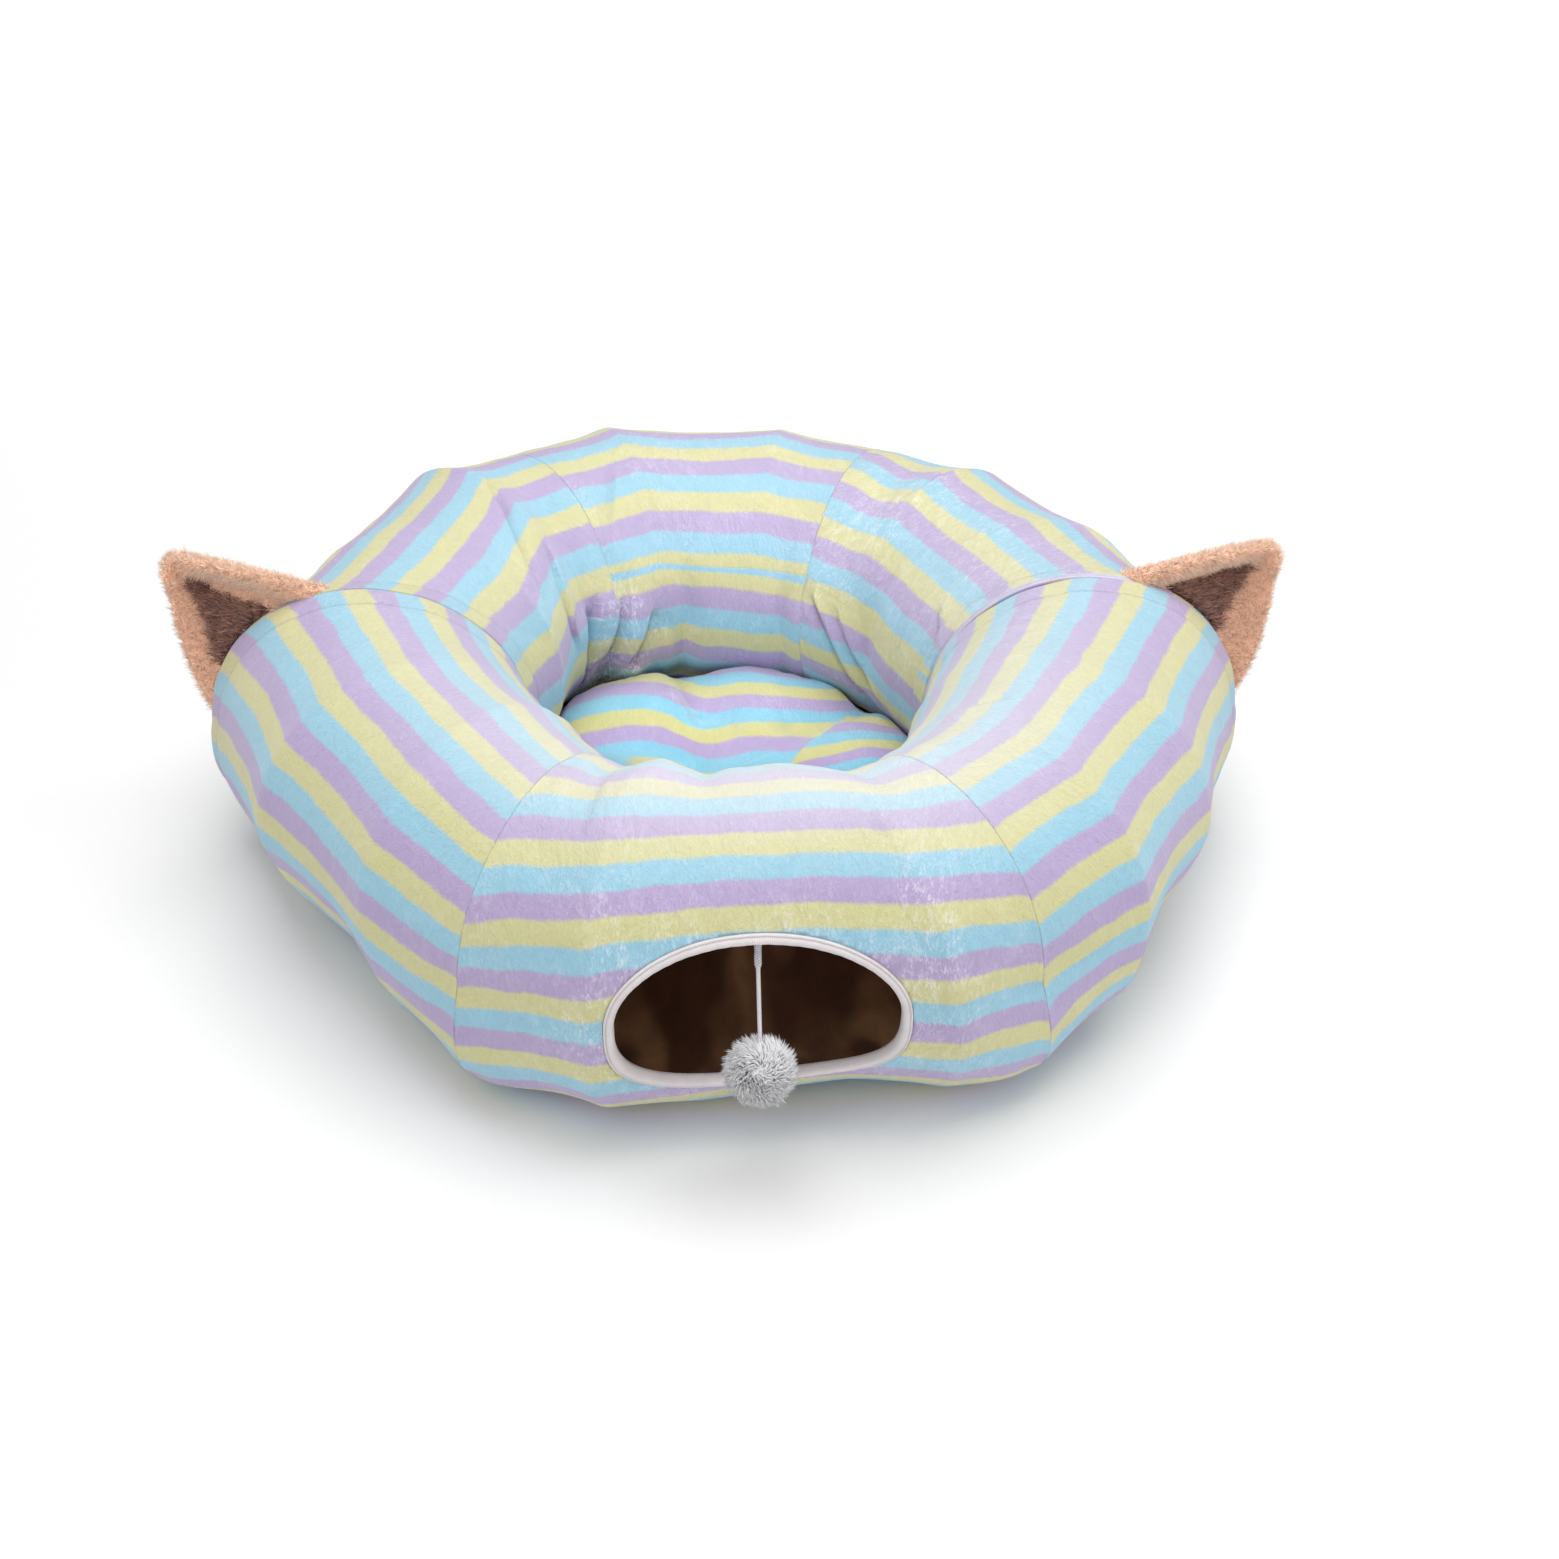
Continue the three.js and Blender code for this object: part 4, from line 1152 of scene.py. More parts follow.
@dataclass
class Panel:
    """One mitred plush panel as a thick sheet with rolled ends."""

    cut: PanelCut
    thickness: float = 3.0
    around: int = 216
    lengthwise: int = 88
    first_angle: float = -100.0
    ends: Row = (0.0, 0.8, 1.8, 3.2, 5.4, 8.6)
    roll_width: float = 2.6
    hem_width: float = 20.0
    hem_dip: float = 0.9
    pucker: float = 0.9
    swell: float = 0.9
    ridges: Row = (-43.0, -15.0, 20.0, 43.5, 134.0, 197.0, 226.0)
    # Patches of brushed pile that carry a painted highlight: azimuth, tube angle, azimuth width, angle span,
    # share.
    highlit_tufts: Table = (
        (-13.5, 20.0, 2.6, 26.0, 0.4), (19.6, 18.0, 3.0, 42.0, 0.8), (212.0, 188.0, 9.0, 25.0, 1.3),
        (136.0, 112.0, 12.0, 30.0, 0.25), (74.0, 120.0, 7.0, 26.0, 0.35), (197.0, 110.0, 4.0, 60.0, 0.2),
    )
    # Painted shade where the cloth folds under beside the cushion: azimuth, tube angle, azimuth width, angle
    # span, share.
    shaded: Table = (
        (221.0, 215.0, 12.0, 16.0, 4.1), (188.0, 220.0, 38.0, 7.0, 3.2), (140.0, 215.0, 22.0, 10.0, 2.2),
    )

    def stations(self, gap: int) -> tuple[Array, Array, Array]:
        """Where the panel's rings lie.

        Args:
            gap: how many fine steps one step of this grid takes.

        Returns:
            The azimuths, the tube angles and each ring's distance from the nearer end, for every grid
            point, where the last column repeats the first.
        """
        angles = self.first_angle + 360.0 * np.arange(0, self.around + 1, gap) / self.around
        middle = TUBE.point(self.cut.middle(), angles, folded=False)
        radius = np.hypot(middle[..., 0], middle[..., 1])
        arc = np.radians(self.cut.end - self.cut.start) * radius
        ends = np.array(self.ends)[:, None]
        first, last = self.cut.start_gap + ends, arc - self.cut.end_gap - ends[::-1]
        shares = np.linspace(0.0, 1.0, self.lengthwise // gap + 2)[1:-1, None]
        between = first[-1] + (last[0] - first[-1]) * shares
        reach = np.concatenate([first + 0 * arc, between, last])
        azimuth = self.cut.start + np.degrees(reach / radius)
        nearer = np.minimum(reach - self.cut.start_gap, arc - self.cut.end_gap - reach)
        return azimuth, np.broadcast_to(angles, azimuth.shape), nearer

    def relief(self, azimuth: Array, angle: Array, nearer: Array) -> Array:
        """Height of the swells, puckers, hem groove and rolled ends at each grid point.

        Args:
            azimuth: angles round the ring.
            angle: angles round the tube.
            nearer: distances from the nearer end.

        Returns:
            Heights in millimetres.
        """
        place = TUBE.point(azimuth, angle, folded=False)
        along = self.cut.along(angle)
        height = self.swell * (0.65 * ripple(place, 95.0, 3) + 0.35 * ripple(place, 38.0, 8))
        wave = np.sin(along / 7.5 + 1.7 * np.sin(along / 31.0)) * bell(nearer - 11.0, 9.0)
        height = height + self.pucker * wave * (0.6 + 0.4 * np.sin(along / 47.0))
        by_start = azimuth < self.cut.middle()
        roll = np.where(by_start, self.cut.start_roll, self.cut.end_roll)
        height = height - roll * np.maximum(0.0, 1.0 - nearer / self.roll_width) ** 2
        for side, gap in ((self.cut.start, self.cut.start_gap), (self.cut.end, self.cut.end_gap)):
            if gap > 0.5:
                close = nearer + 1e3 * (np.abs(azimuth - side) > 20.0)
                height = height - self.hem_dip * bell(close - self.hem_width + gap, 2.4)
        for ridge in self.ridges:
            pleats = np.sin(along / 4.6 + 2.0 * np.sin(along / 23.0 + ridge))
            pleats = pleats * (0.5 + 0.5 * np.sin(along / 37.0)) * bell(azimuth - ridge, 1.5)
            height = height + 0.5 * pleats * (np.abs(angle - 90.0) < 150.0)
        under = self.cut.below_seam(self.cut.across(place), along)
        height = height - 0.15 * bell(under, 2.0) * (nearer > 6.0)
        return height

    def brushed(self, azimuth: Array, angle: Array, points: Array) -> Array:
        """How much the pile stands up in brushed tufts at each grid point, where a highlight is painted.

        Args:
            azimuth: angles round the ring.
            angle: angles round the tube.
            points: positions in millimetres.

        Returns:
            Shares from 0 to 1.
        """
        brushed_sheen = np.full(azimuth.shape, self.cut.brushed_sheen)
        for at, around, along, span, share in self.highlit_tufts:
            brushed_sheen = brushed_sheen + share * bell(azimuth - at, along) * bell(turn_between(angle, around), span)
        if self.cut.holed:
            spread = HOLE.spread(points[..., 0], points[..., 2], HOLE.cloth_offset)
            brushed_sheen = brushed_sheen + 0.35 * bell(spread - 1.05, 0.22) * (np.abs(angle) < 60.0)
        return np.clip(brushed_sheen, 0.0, 1.0)

    def shadow(self, azimuth: Array, angle: Array) -> Array:
        """Painted shade in the cloth's creases and under its own overhang at each grid point.

        Args:
            azimuth: angles round the ring.
            angle: angles round the tube.

        Returns:
            From 0 for open cloth to about 4 in the darkest place.
        """
        dark = TUBE.crease_effect(azimuth, angle)[1]
        for at, around, along, span, share in self.shaded:
            dark = dark + share * bell(azimuth - at, along) * bell(turn_between(angle, around), span)
        return dark

    @staticmethod
    def top_highlight(azimuth: Array, angle: Array) -> Array:
        """Painted highlight: how much paler the pile over the tube's top is made, most at the front.

        Args:
            azimuth: angles round the ring.
            angle: angles round the tube.

        Returns:
            Shares from 0 to 1.
        """
        turn = np.where(angle < -90.0, angle + 360.0, angle)
        front = 0.12 + 0.88 * bell(azimuth - 12.0, 62.0)
        return front * smooth_step(turn, 42.0, 112.0) * (1.0 - smooth_step(turn, 132.0, 180.0))

    def opened(self, azimuth: Array, angle: Array, inset: float
               ) -> tuple[Array, Array, Array]:
        """Move the grid points at the peep hole's rim onto its outline.

        Args:
            azimuth: azimuths of the grid points.
            angle: tube angles of the grid points.
            inset: depth of the layer.

        Returns:
            The moved azimuths and tube angles, and which points lie inside the hole.
        """
        points = TUBE.point(azimuth, angle, inset)
        spread = HOLE.spread(points[..., 0], points[..., 2], HOLE.cloth_offset)
        inside = (spread < 1.0) & (np.abs(angle) < 60.0)
        cloth = ~np.pad(inside, 1, mode="edge")
        rows, columns = inside.shape
        near = [cloth[i:i + rows, j:j + columns] for i in range(3) for j in range(3)]
        rim = np.any(near, axis=0) & inside
        scale = 1.0 / spread[rim]
        x = HOLE.x + (points[rim][:, 0] - HOLE.x) * scale
        z = HOLE.z + (points[rim][:, 2] - HOLE.z) * scale
        azimuth, angle = azimuth.copy(), angle.copy()
        azimuth[rim], angle[rim] = TUBE.wall(x, z, inset)
        return azimuth, angle, inside

    def layer(self, gap: int, inset: float) -> dict[str, Array]:
        """One face of the sheet.

        Args:
            gap: how many fine steps one step of this grid takes.
            inset: depth of the layer.

        Returns:
            Points, grid faces and the numbers that the material reads, by name.
        """
        azimuth, angle, nearer = self.stations(gap)
        inside = np.zeros(azimuth.shape, bool)
        if self.cut.holed:
            azimuth, angle, inside = self.opened(azimuth, angle, inset)
        lift = self.relief(azimuth, angle, nearer) if inset == 0 else 0.0
        points = TUBE.point(azimuth, angle, inset, lift)
        rows, columns = azimuth.shape[0], azimuth.shape[1] - 1
        corners = grid_cells(rows - 1, columns)
        corners = corners[~inside.ravel()[corners].all(1)]
        along = self.cut.along(angle)
        across = self.cut.across(points)
        from_start = np.radians(azimuth - self.cut.start) * np.hypot(points[..., 0], points[..., 1])
        from_end = np.radians(self.cut.end - azimuth) * np.hypot(points[..., 0], points[..., 1])
        far = np.full(azimuth.shape, 90.0)
        is_join = (self.cut.start_gap > 0.5, self.cut.end_gap > 0.5)
        seam = np.minimum(far if is_join[0] else from_start, far if is_join[1] else from_end)
        hem = np.minimum(from_start if is_join[0] else far, from_end if is_join[1] else far)
        under = self.cut.below_seam(across, along)
        return {"points": points, "corners": corners, "across": across, "along": along,
                "stripe": self.cut.band_coordinate(across, along), "shift": self.cut.shift(across, along),
                "seam": np.minimum(seam, 90.0),
                "hem": np.minimum(hem, 90.0), "well_seam": np.clip(under, -90.0, 90.0),
                "crease": self.shadow(azimuth, angle), "brushed_sheen": self.brushed(azimuth, angle, points),
                "top_highlight": self.top_highlight(azimuth, angle)}

    def build(self, face: Material, back: Material) -> Object:
        """Args:
            face: the striped finish.
            back: the finish of the cloth's inside.

        Returns:
            The panel.
        """
        outer, inner = self.layer(1, 0.0), self.layer(2, self.thickness)
        fine, coarse = self.around, self.around // 2
        fine_rows, coarse_rows = outer["points"].shape[0], inner["points"].shape[0]
        shift = fine_rows * fine

        def fine_id(corner: Array) -> Array:
            """Point numbers of the outer grid's corners."""
            return corner // (fine + 1) * fine + corner % (fine + 1) % fine

        def coarse_id(corner: Array) -> Array:
            """Point numbers of the inner grid's corners."""
            return shift + corner // (coarse + 1) * coarse + corner % (coarse + 1) % coarse

        faces = fine_id(outer["corners"]).tolist() + coarse_id(inner["corners"])[:, ::-1].tolist()
        step = np.arange(coarse)
        rims = []
        for row, inner_row, turned in ((0, 0, 1), (fine_rows - 1, coarse_rows - 1, -1)):
            base, inner_base = row * (fine + 1), inner_row * (coarse + 1)
            fan = [base + 2 * step, base + 2 * step + 1, base + 2 * step + 2]
            rim = np.stack([*(fine_id(c) for c in fan), coarse_id(inner_base + step + 1),
                            coarse_id(inner_base + step)], -1)
            near = np.stack([*fan, fan[2], fan[0]], -1)
            faces += rim[:, ::turned].tolist()
            rims.append(near[:, ::turned])
        places = np.zeros(len(faces), int)
        first_inner = len(outer["corners"])
        places[first_inner:first_inner + len(inner["corners"])] = Surface.BACK.value
        points = np.concatenate([outer["points"][:, :-1].reshape(-1, 3),
                                 inner["points"][:, :-1].reshape(-1, 3)])
        piece = make_object(f"{self.cut.name}_plush", points, faces, [face, back], places)
        listed = {name: np.concatenate([outer[name].ravel()[outer["corners"]].ravel(),
                                        inner[name].ravel()[inner["corners"]][:, ::-1].ravel(),
                                        *(outer[name].ravel()[rim].ravel() for rim in rims)])
                  for name in ("across", "along", *PANEL_VALUES)}
        for name in PANEL_VALUES:
            give_values(piece, name, listed[name])
        give_map(piece, listed["across"], listed["along"])
        if self.cut.holed:
            self.close_rim(piece)
        drop_loose(piece)
        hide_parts(self.cut.name)
        width, length = self.flat_size()
        return piece

    def flat_size(self) -> Pair:
        """The cut's length round the tube and along the outer wall, in metres.

        Returns:
            The two lengths.
        """
        round_tube = float(np.ptp(self.cut.along(np.array([-100.0, 260.0])))) * MM
        line = TUBE.point(np.linspace(self.cut.start, self.cut.end, 40), 0.0)
        return round_tube, float(run_length(line)[-1]) * MM

    @staticmethod
    def close_rim(piece: Object) -> None:
        """Join the two faces of the sheet at the rim of the hole.

        Args:
            piece: the sheet.
        """
        with edited(piece) as shape:
            bmesh.ops.bridge_loops(shape, edges=[edge for edge in shape.edges if len(edge.link_faces) == 1])
            bmesh.ops.recalc_face_normals(shape, faces=shape.faces)


def drop_loose(piece: Object) -> None:
    """Remove points that no face uses.

    Args:
        piece: the piece to clean.
    """
    with edited(piece) as shape:
        bmesh.ops.delete(shape, geom=[v for v in shape.verts if not v.link_faces], context="VERTS")


@dataclass
class Tube:
    """The six plush panels of the ring."""

    face: PlushFinish = field(default_factory=PlushFinish)
    panels: tuple[PanelCut, ...] = (
        PanelCut("panel_front_left", -90.0, -29.5,
                 (1.002, 44.7, 12.6, 22.5, 2.3, 0.0, 2.6, -8.7, -5.0, 1.5, 0.9, -5.4, 7.8),
                 start_gap=0.9, end_roll=0.1),
        PanelCut("panel_front_middle", -29.5, 30.0,
                 (1.030, 35.3, -7.4, 17.0, -1.8, 1.8, -2.7, -3.3, -1.9, -1.9, -1.9, 11.9, -0.2),
                 start_roll=0.1, holed=True, brushed_sheen=0.4),
        PanelCut("panel_front_right", 30.0, 90.0,
                 (1.000, 7.1, 22.3, 8.6, -5.9, -8.1, -9.1, -9.5, -6.2, -2.1, 6.5, 2.5, 1.6),
                 end_gap=2.4),
        PanelCut("panel_back_right", 90.0, 153.0,
                 (0.915, 6.3, 9.4, 14.8, 5.7, -1.1, 7.0, 4.0, 2.0, 4.9, 0.7, 6.0, 0.8),
                 seen=(-20.0, 230.0), start_gap=2.4, end_roll=0.2, brushed_sheen=0.6,
                 well_seam=(150.5, -27.1, -61.1), lower=(-8.27, -0.03, 12.40, 3.67)),
        PanelCut("panel_back_middle", 153.0, 213.0,
                 (0.911, 26.2, -4.6, 6.8, -0.6, -2.4, 8.0, 4.9, -1.3, 2.7, -0.2, 4.6, 1.3),
                 seen=(-20.0, 230.0), start_roll=0.2, end_roll=0.2, brushed_sheen=0.45,
                 well_seam=(129.0, -0.9, -31.1), lower=(-8.57, -0.12, 4.76, 0.81), sliver=8.5),
        PanelCut("panel_back_left", 213.0, 270.0,
                 (0.945, 19.8, -9.8, 11.4, -3.0, 1.2, -1.4, -9.5, -16.9, 2.1, 1.0, 4.7, -2.4),
                 seen=(-20.0, 230.0), start_roll=0.2, end_gap=0.9),
    )

    def build(self, back: Material) -> None:
        """Make every panel.

        Args:
            back: the finish of the cloth's inside.
        """
        face = self.face.build("striped plush")
        for cut in self.panels:
            piece = Panel(cut).build(face, back)
            LOG.info("%s: %d faces", piece.name, len(piece.data.polygons))


@dataclass
class Lining:
    """The front half's lining, a crisp dark sheet inside the plush."""

    start: float = -90.0
    end: float = 90.0
    gap: float = 2.9
    inset: float = 3.9
    thickness: float = 1.0
    around: int = 96
    lengthwise: int = 116
    crumple: float = 2.0
    flat: Pair = (0.70, 1.22)

    def build(self, material: Material) -> Object:
        """Args:
            material: its finish.

        Returns:
            The lining.
        """
        angles = -100.0 + 360.0 * np.arange(self.around + 1) / self.around
        turn = math.degrees(self.gap / 330.0)
        azimuths = np.linspace(self.start + turn, self.end - turn, self.lengthwise + 1)
        azimuth, angle = np.meshgrid(azimuths, angles, indexing="ij")
        rows, columns = self.lengthwise + 1, self.around
        corners = grid_cells(rows - 1, columns)
        helper = Panel(PanelCut("lining", self.start, self.end, (1.0, 0.0)))
        layers, kept = [], []
        for inset in (self.inset, self.inset + self.thickness):
            moved, tilted, inside = helper.opened(azimuth, angle, inset)
            place = TUBE.point(moved, tilted, inset, folded=False)
            lift = -self.crumple * (0.8 + 0.6 * ripple(place, 46.0, 21) + 0.4 * ripple(place, 17.0, 5))
            lift = np.minimum(lift, 0.0) * (HOLE.spread(place[..., 0], place[..., 2], 12.0) > 1.02)
            layers.append(TUBE.point(moved, tilted, inset, lift))
            kept.append(corners[~inside.ravel()[corners].all(1)])
        count = rows * columns

        def number(corner: Array) -> Array:
            """Point numbers of the grid's corners."""
            return corner // (columns + 1) * columns + corner % (columns + 1) % columns

        faces = number(kept[0]).tolist() + (number(kept[1])[:, ::-1] + count).tolist()
        step = np.arange(columns)
        for base, turned in ((0, 1), ((rows - 1) * (columns + 1), -1)):
            low, high = number(base + step), number(base + step + 1)
            faces += np.stack([low, high, high + count, low + count], -1)[:, ::turned].tolist()
        points = np.concatenate([layer[:, :-1].reshape(-1, 3) for layer in layers])
        piece = make_object("lining_front_cloth", points, faces, [material])
        Panel.close_rim(piece)
        drop_loose(piece)
        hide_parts("lining_front")
        return piece


def closed_band(name: str, rings: list[Array], offsets: Array, groove: Array, pitch: float,
                material: Material) -> Object:
    """Make a tape whose closed profile runs round in a ring.

    Args:
        name: the piece's name.
        rings: one ring of points for each corner of the profile.
        offsets: how far across the tape each ring lies.
        groove: each ring's distance from the nearest groove.
        pitch: length of tape from one point of a ring to the next.
        material: its finish.

    Returns:
        The tape.
    """
    count, steps = len(rings), len(rings[0])
    i, j = np.meshgrid(np.arange(count), np.arange(steps), indexing="ij")
    after, onwards = (i + 1) % count, (j + 1) % steps
    faces = np.stack([i * steps + j, after * steps + j, after * steps + onwards, i * steps + onwards], -1)
    piece = make_object(name, np.concatenate(rings), faces.reshape(-1, 4).tolist(), [material])
    around, far = np.stack([i, after, after, i], -1), np.stack([j, j, j + 1, j + 1], -1)
    give_values(piece, "groove", groove[around])
    give_map(piece, far.ravel() * pitch, offsets[around].ravel())
    return piece


@dataclass
class HoleBinding:
    """The folded tape round the peep hole, with its stitched edge and the joint of its ends."""

    width: float = 7.0
    depth: float = 8.4
    steps: int = 220
    profile: Pairs = (
        (0.0, -4.6), (0.25, -1.2), (0.9, 0.6), (2.1, 1.5), (3.6, 1.7), (4.6, 1.45), (5.1, 1.0),
        (5.5, 0.95), (6.1, 1.15), (6.7, 0.9), (7.0, 0.2), (7.0, -3.4), (7.0, -8.2), (3.5, -8.4), (0.4, -8.2),
    )
    stitch_at: float = 5.3
    joint_turn: float = -0.06
    joint_rise: float = 0.7
    mean_radius: float = 74.0
    flat: Pair = (0.016, 0.47)

    def build(self, material: Material) -> Object:
        """Args:
            material: its finish.

        Returns:
            The binding.
        """
        turns = 2.0 * math.pi * np.arange(self.steps) / self.steps
        rings = []
        for offset, lift in self.profile:
            x, z = HOLE.outline(turns, offset)
            azimuth, angle = TUBE.wall(x, z)
            wall = TUBE.point(azimuth, angle)
            bumpy = 0.16 * np.sin(turns * 61.0) * (lift > 0.5) + 0.12 * np.sin(turns * 23.0 + 1.0)
            joint = self.joint_rise * bell(turn_between(np.degrees(turns - self.joint_turn), 0.0), 2.2)
            raised = (lift + bumpy + joint * (lift > -4.0)) if lift > -5 else lift + 0 * turns
            rings.append(np.stack([x, wall[:, 1] - raised, z], -1))
        offsets, lifts = np.array(self.profile).T
        groove = np.where(lifts > 0, offsets - self.stitch_at, 30.0)
        pitch = 2.0 * math.pi * self.mean_radius / self.steps
        piece = closed_band("hole_binding_tape", rings, offsets, groove, pitch, material)
        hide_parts("hole_binding")
        return piece


@dataclass
class Zips:
    """The two zips between the halves: tapes with a closed row of coils in a groove."""

    profile: Pairs = (
        (-2.6, -0.5), (-2.3, -0.1), (-1.6, 0.25), (-1.05, 0.1), (-0.75, -0.35), (-0.5, 0.0), (0.0, 0.35),
        (0.5, 0.0), (0.75, -0.35), (1.05, 0.1), (1.6, 0.25), (2.3, -0.1), (2.6, -0.5), (2.6, -2.5),
        (0.0, -2.6), (-2.6, -2.5),
    )
    steps: int = 260
    deepest: float = -3.3
    raised: tuple[float, float, float] = (115.0, 44.0, 5.4)
    length: float = 752.0
    flat: Pair = (0.0105, 0.74)

    def build(self, material: Material) -> None:
        """Args:
            material: their finish.
        """
        for name, azimuth in (("zip_left", -90.0), ("zip_right", 90.0)):
            angles = 360.0 * np.arange(self.steps) / self.steps
            at, span, rise = self.raised
            base = self.deepest + (rise * bell(turn_between(angles, at), span) if azimuth > 0 else 0.0)
            rings = []
            for ahead, lift in self.profile:
                ring = TUBE.point(azimuth, angles, 0.0, base + lift)
                ring[:, 2] = np.maximum(ring[:, 2], 0.4 - min(0.0, lift))
                ring[:, 1] += ahead * (1.0 if azimuth > 0 else -1.0)
                rings.append(ring)
            offsets = np.array(self.profile)[:, 0]
            groove = np.where(np.abs(offsets) < 2.5, np.abs(np.abs(offsets) - 0.75), 30.0)
            piece = closed_band(f"{name}_tape", rings, offsets, groove, self.length / self.steps, material)
            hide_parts(name)
            LOG.info("%s made", piece.name)


@dataclass(frozen=True)
class Strands:
    """Short fibres rooted on a piece, as slim closed cones that bend over."""

    length: float
    width: float
    bend: float
    scatter: float
    segments: int = 2
    sides: int = 3
    clump: float = 7.0

    def grow(self, roots: Array, ways: Array, comb: Array, seed: int
             ) -> tuple[Array, list[list[int]], Array, Array]:
        """Grow one strand at each root.

        Args:
            roots: root positions in millimetres.
            ways: directions that the strands stand in.
            comb: directions that they are brushed towards.
            seed: number that picks one pattern.

        Returns:
            Points, faces, and each point's tone and share of the strand's length.
        """
        chance = np.random.default_rng(seed)
        count = len(roots)
        drift = np.stack([ripple(roots, self.clump, seed + k) for k in range(3)], -1)
        ways = unit(ways + 0.3 * drift + chance.normal(scale=self.scatter, size=ways.shape))
        comb = comb + 0.6 * drift + chance.normal(scale=self.scatter, size=comb.shape)
        lengths = self.length * chance.uniform(0.65, 1.1, size=(count, 1))
        tones = 0.6 * chance.random(count) + 0.2 + 0.22 * ripple(roots, self.clump, seed + 7)
        tones = np.clip(tones, 0.0, 1.0)
        side = unit(np.cross(ways, chance.normal(size=ways.shape)))
        other = np.cross(ways, side)
        levels, reach = [], []
        for level in range(self.segments + 1):
            share = level / self.segments
            centre = roots + lengths * (share * ways + self.bend * share * share * comb)
            reach.append(share)
            if level == self.segments:
                levels.append(centre[:, None])
                continue
            levels.append(centre[:, None] + 0.5 * self.width * (1.0 - 0.45 * share)
                          * circle(side, other, self.sides))
        points = np.concatenate(levels, 1)
        per = points.shape[1]
        pattern: list[list[int]] = [list(range(self.sides))[::-1]]
        for level in range(self.segments - 1):
            for k in range(self.sides):
                a, b = level * self.sides + k, level * self.sides + (k + 1) % self.sides
                pattern.append([a, b, b + self.sides, a + self.sides])
        last = (self.segments - 1) * self.sides
        pattern += [[last + k, last + (k + 1) % self.sides, per - 1] for k in range(self.sides)]
        faces = [[index + per * strand for index in face] for strand in range(count) for face in pattern]
        levels_share = np.concatenate([np.full(self.sides, r) for r in reach[:-1]] + [[reach[-1]]])
        return (points.reshape(-1, 3), faces, np.repeat(tones, per), np.tile(levels_share, count))


def add_values(piece: Object, tones: Array, reach: Array) -> None:
    """Store each point's strand tone and share of a strand's length."""
    give_values(piece, "tone", tones, "POINT")
    give_values(piece, "reach", reach, "POINT")


def scatter_on(points: Array, quads: Array, count: int, seed: int
               ) -> tuple[Array, Array, Array]:
    """Pick even random places on a grid of faces.

    Args:
        points: positions in millimetres.
        quads: four point numbers a face.
        count: how many places.
        seed: number that picks one pattern.

    Returns:
        Places, their normals and the direction of each face's first edge.
    """
    chance = np.random.default_rng(seed)
    a, b, c, d = (points[quads[:, k]] for k in range(4))
    normal = np.cross(c - a, d - b)
    area = np.linalg.norm(normal, axis=1) / 2
    pick = chance.choice(len(quads), size=count, p=area / area.sum())
    u, v = chance.random((count, 1)), chance.random((count, 1))
    place = ((a[pick] * (1 - u) + b[pick] * u) * (1 - v) + (d[pick] * (1 - u) + c[pick] * u) * v)
    return place, unit(normal[pick]), unit(b[pick] - a[pick])


@dataclass(frozen=True)
class EarShape:
    """A cupped triangular ear that stands on the hoop between the halves."""

    side: int
    tip_angle: float
    tip_reach: float
    foot_angles: Pair = (4.0, 77.0)
    open_at_foot: float = 0.16
    open_span: float = 0.74
    tip_half_width: float = 9.0
    tip_round: float = 7.0
    base_y: float = 12.8
    cup: float = 19.0
    rim: float = 11.0
    seat: float = 0.5
    bulge: float = 4.0
    joint_height: float = 231.0
    half_zip: float = 2.9

    def foot(self, share: Array, behind: Array) -> Array:
        """Foot points on the tube, as distance from the ring's middle and height.

        Args:
            share: place across the ear.
            behind: how far back each point lies.

        Returns:
            The two lengths for each point.
        """
        beyond = np.sign(behind) * np.maximum(0.0, np.abs(behind) - self.half_zip)
        turn = np.degrees(np.arcsin(beyond / RING_REACH))
        azimuth = 90.0 + turn if self.side > 0 else np.where(behind < 0, -90.0 - turn, 270.0 - turn)
        low, high = self.foot_angles
        point = TUBE.point(azimuth, low + (high - low) * share, -self.seat)
        return np.stack([np.abs(point[..., 0]), point[..., 2]], -1)

    def point(self, share: Array, rise: Array, forwards: Array) -> Array:
        """Points of the ear.

        Args:
            share: place across the ear, from its outer edge 0 to its upper edge 1.
            rise: place from the foot 0 to the tip 1.
            forwards: distance in front of the pad's middle layer.

        Returns:
            Positions in millimetres.
        """
        share, rise, forwards = np.broadcast_arrays(*(np.asarray(a, float) for a in (share, rise, forwards)))
        edge = 2.0 * share - 1.0
        opened = np.sin(np.pi * (self.open_at_foot + self.open_span * rise))
        y = self.base_y + opened * (self.cup * (1 - edge ** 2) - self.rim * edge ** 2) - forwards
        turn = math.radians(self.tip_angle)
        upwards = np.array([math.cos(turn), math.sin(turn)])
        across = np.array([-upwards[1], upwards[0]])
        centre = np.array([RING_REACH - TUBE_REACH, self.joint_height / 2 - TUBE.floor_press])
        top = (centre + upwards * self.tip_reach + across * (self.tip_half_width * edge)[..., None]
               - upwards * (self.tip_round * edge ** 2)[..., None])
        blend = np.clip(rise, 0.0, 1.0)[..., None]
        place = self.foot(share, y) * (1 - blend) + top * blend
        place = place + across * (self.bulge * edge * np.sin(np.pi * blend[..., 0]))[..., None]
        place = place + upwards * (np.minimum(rise, 0.0) * 150.0)[..., None]
        return np.stack([self.side * place[..., 0], y, place[..., 1]], -1)


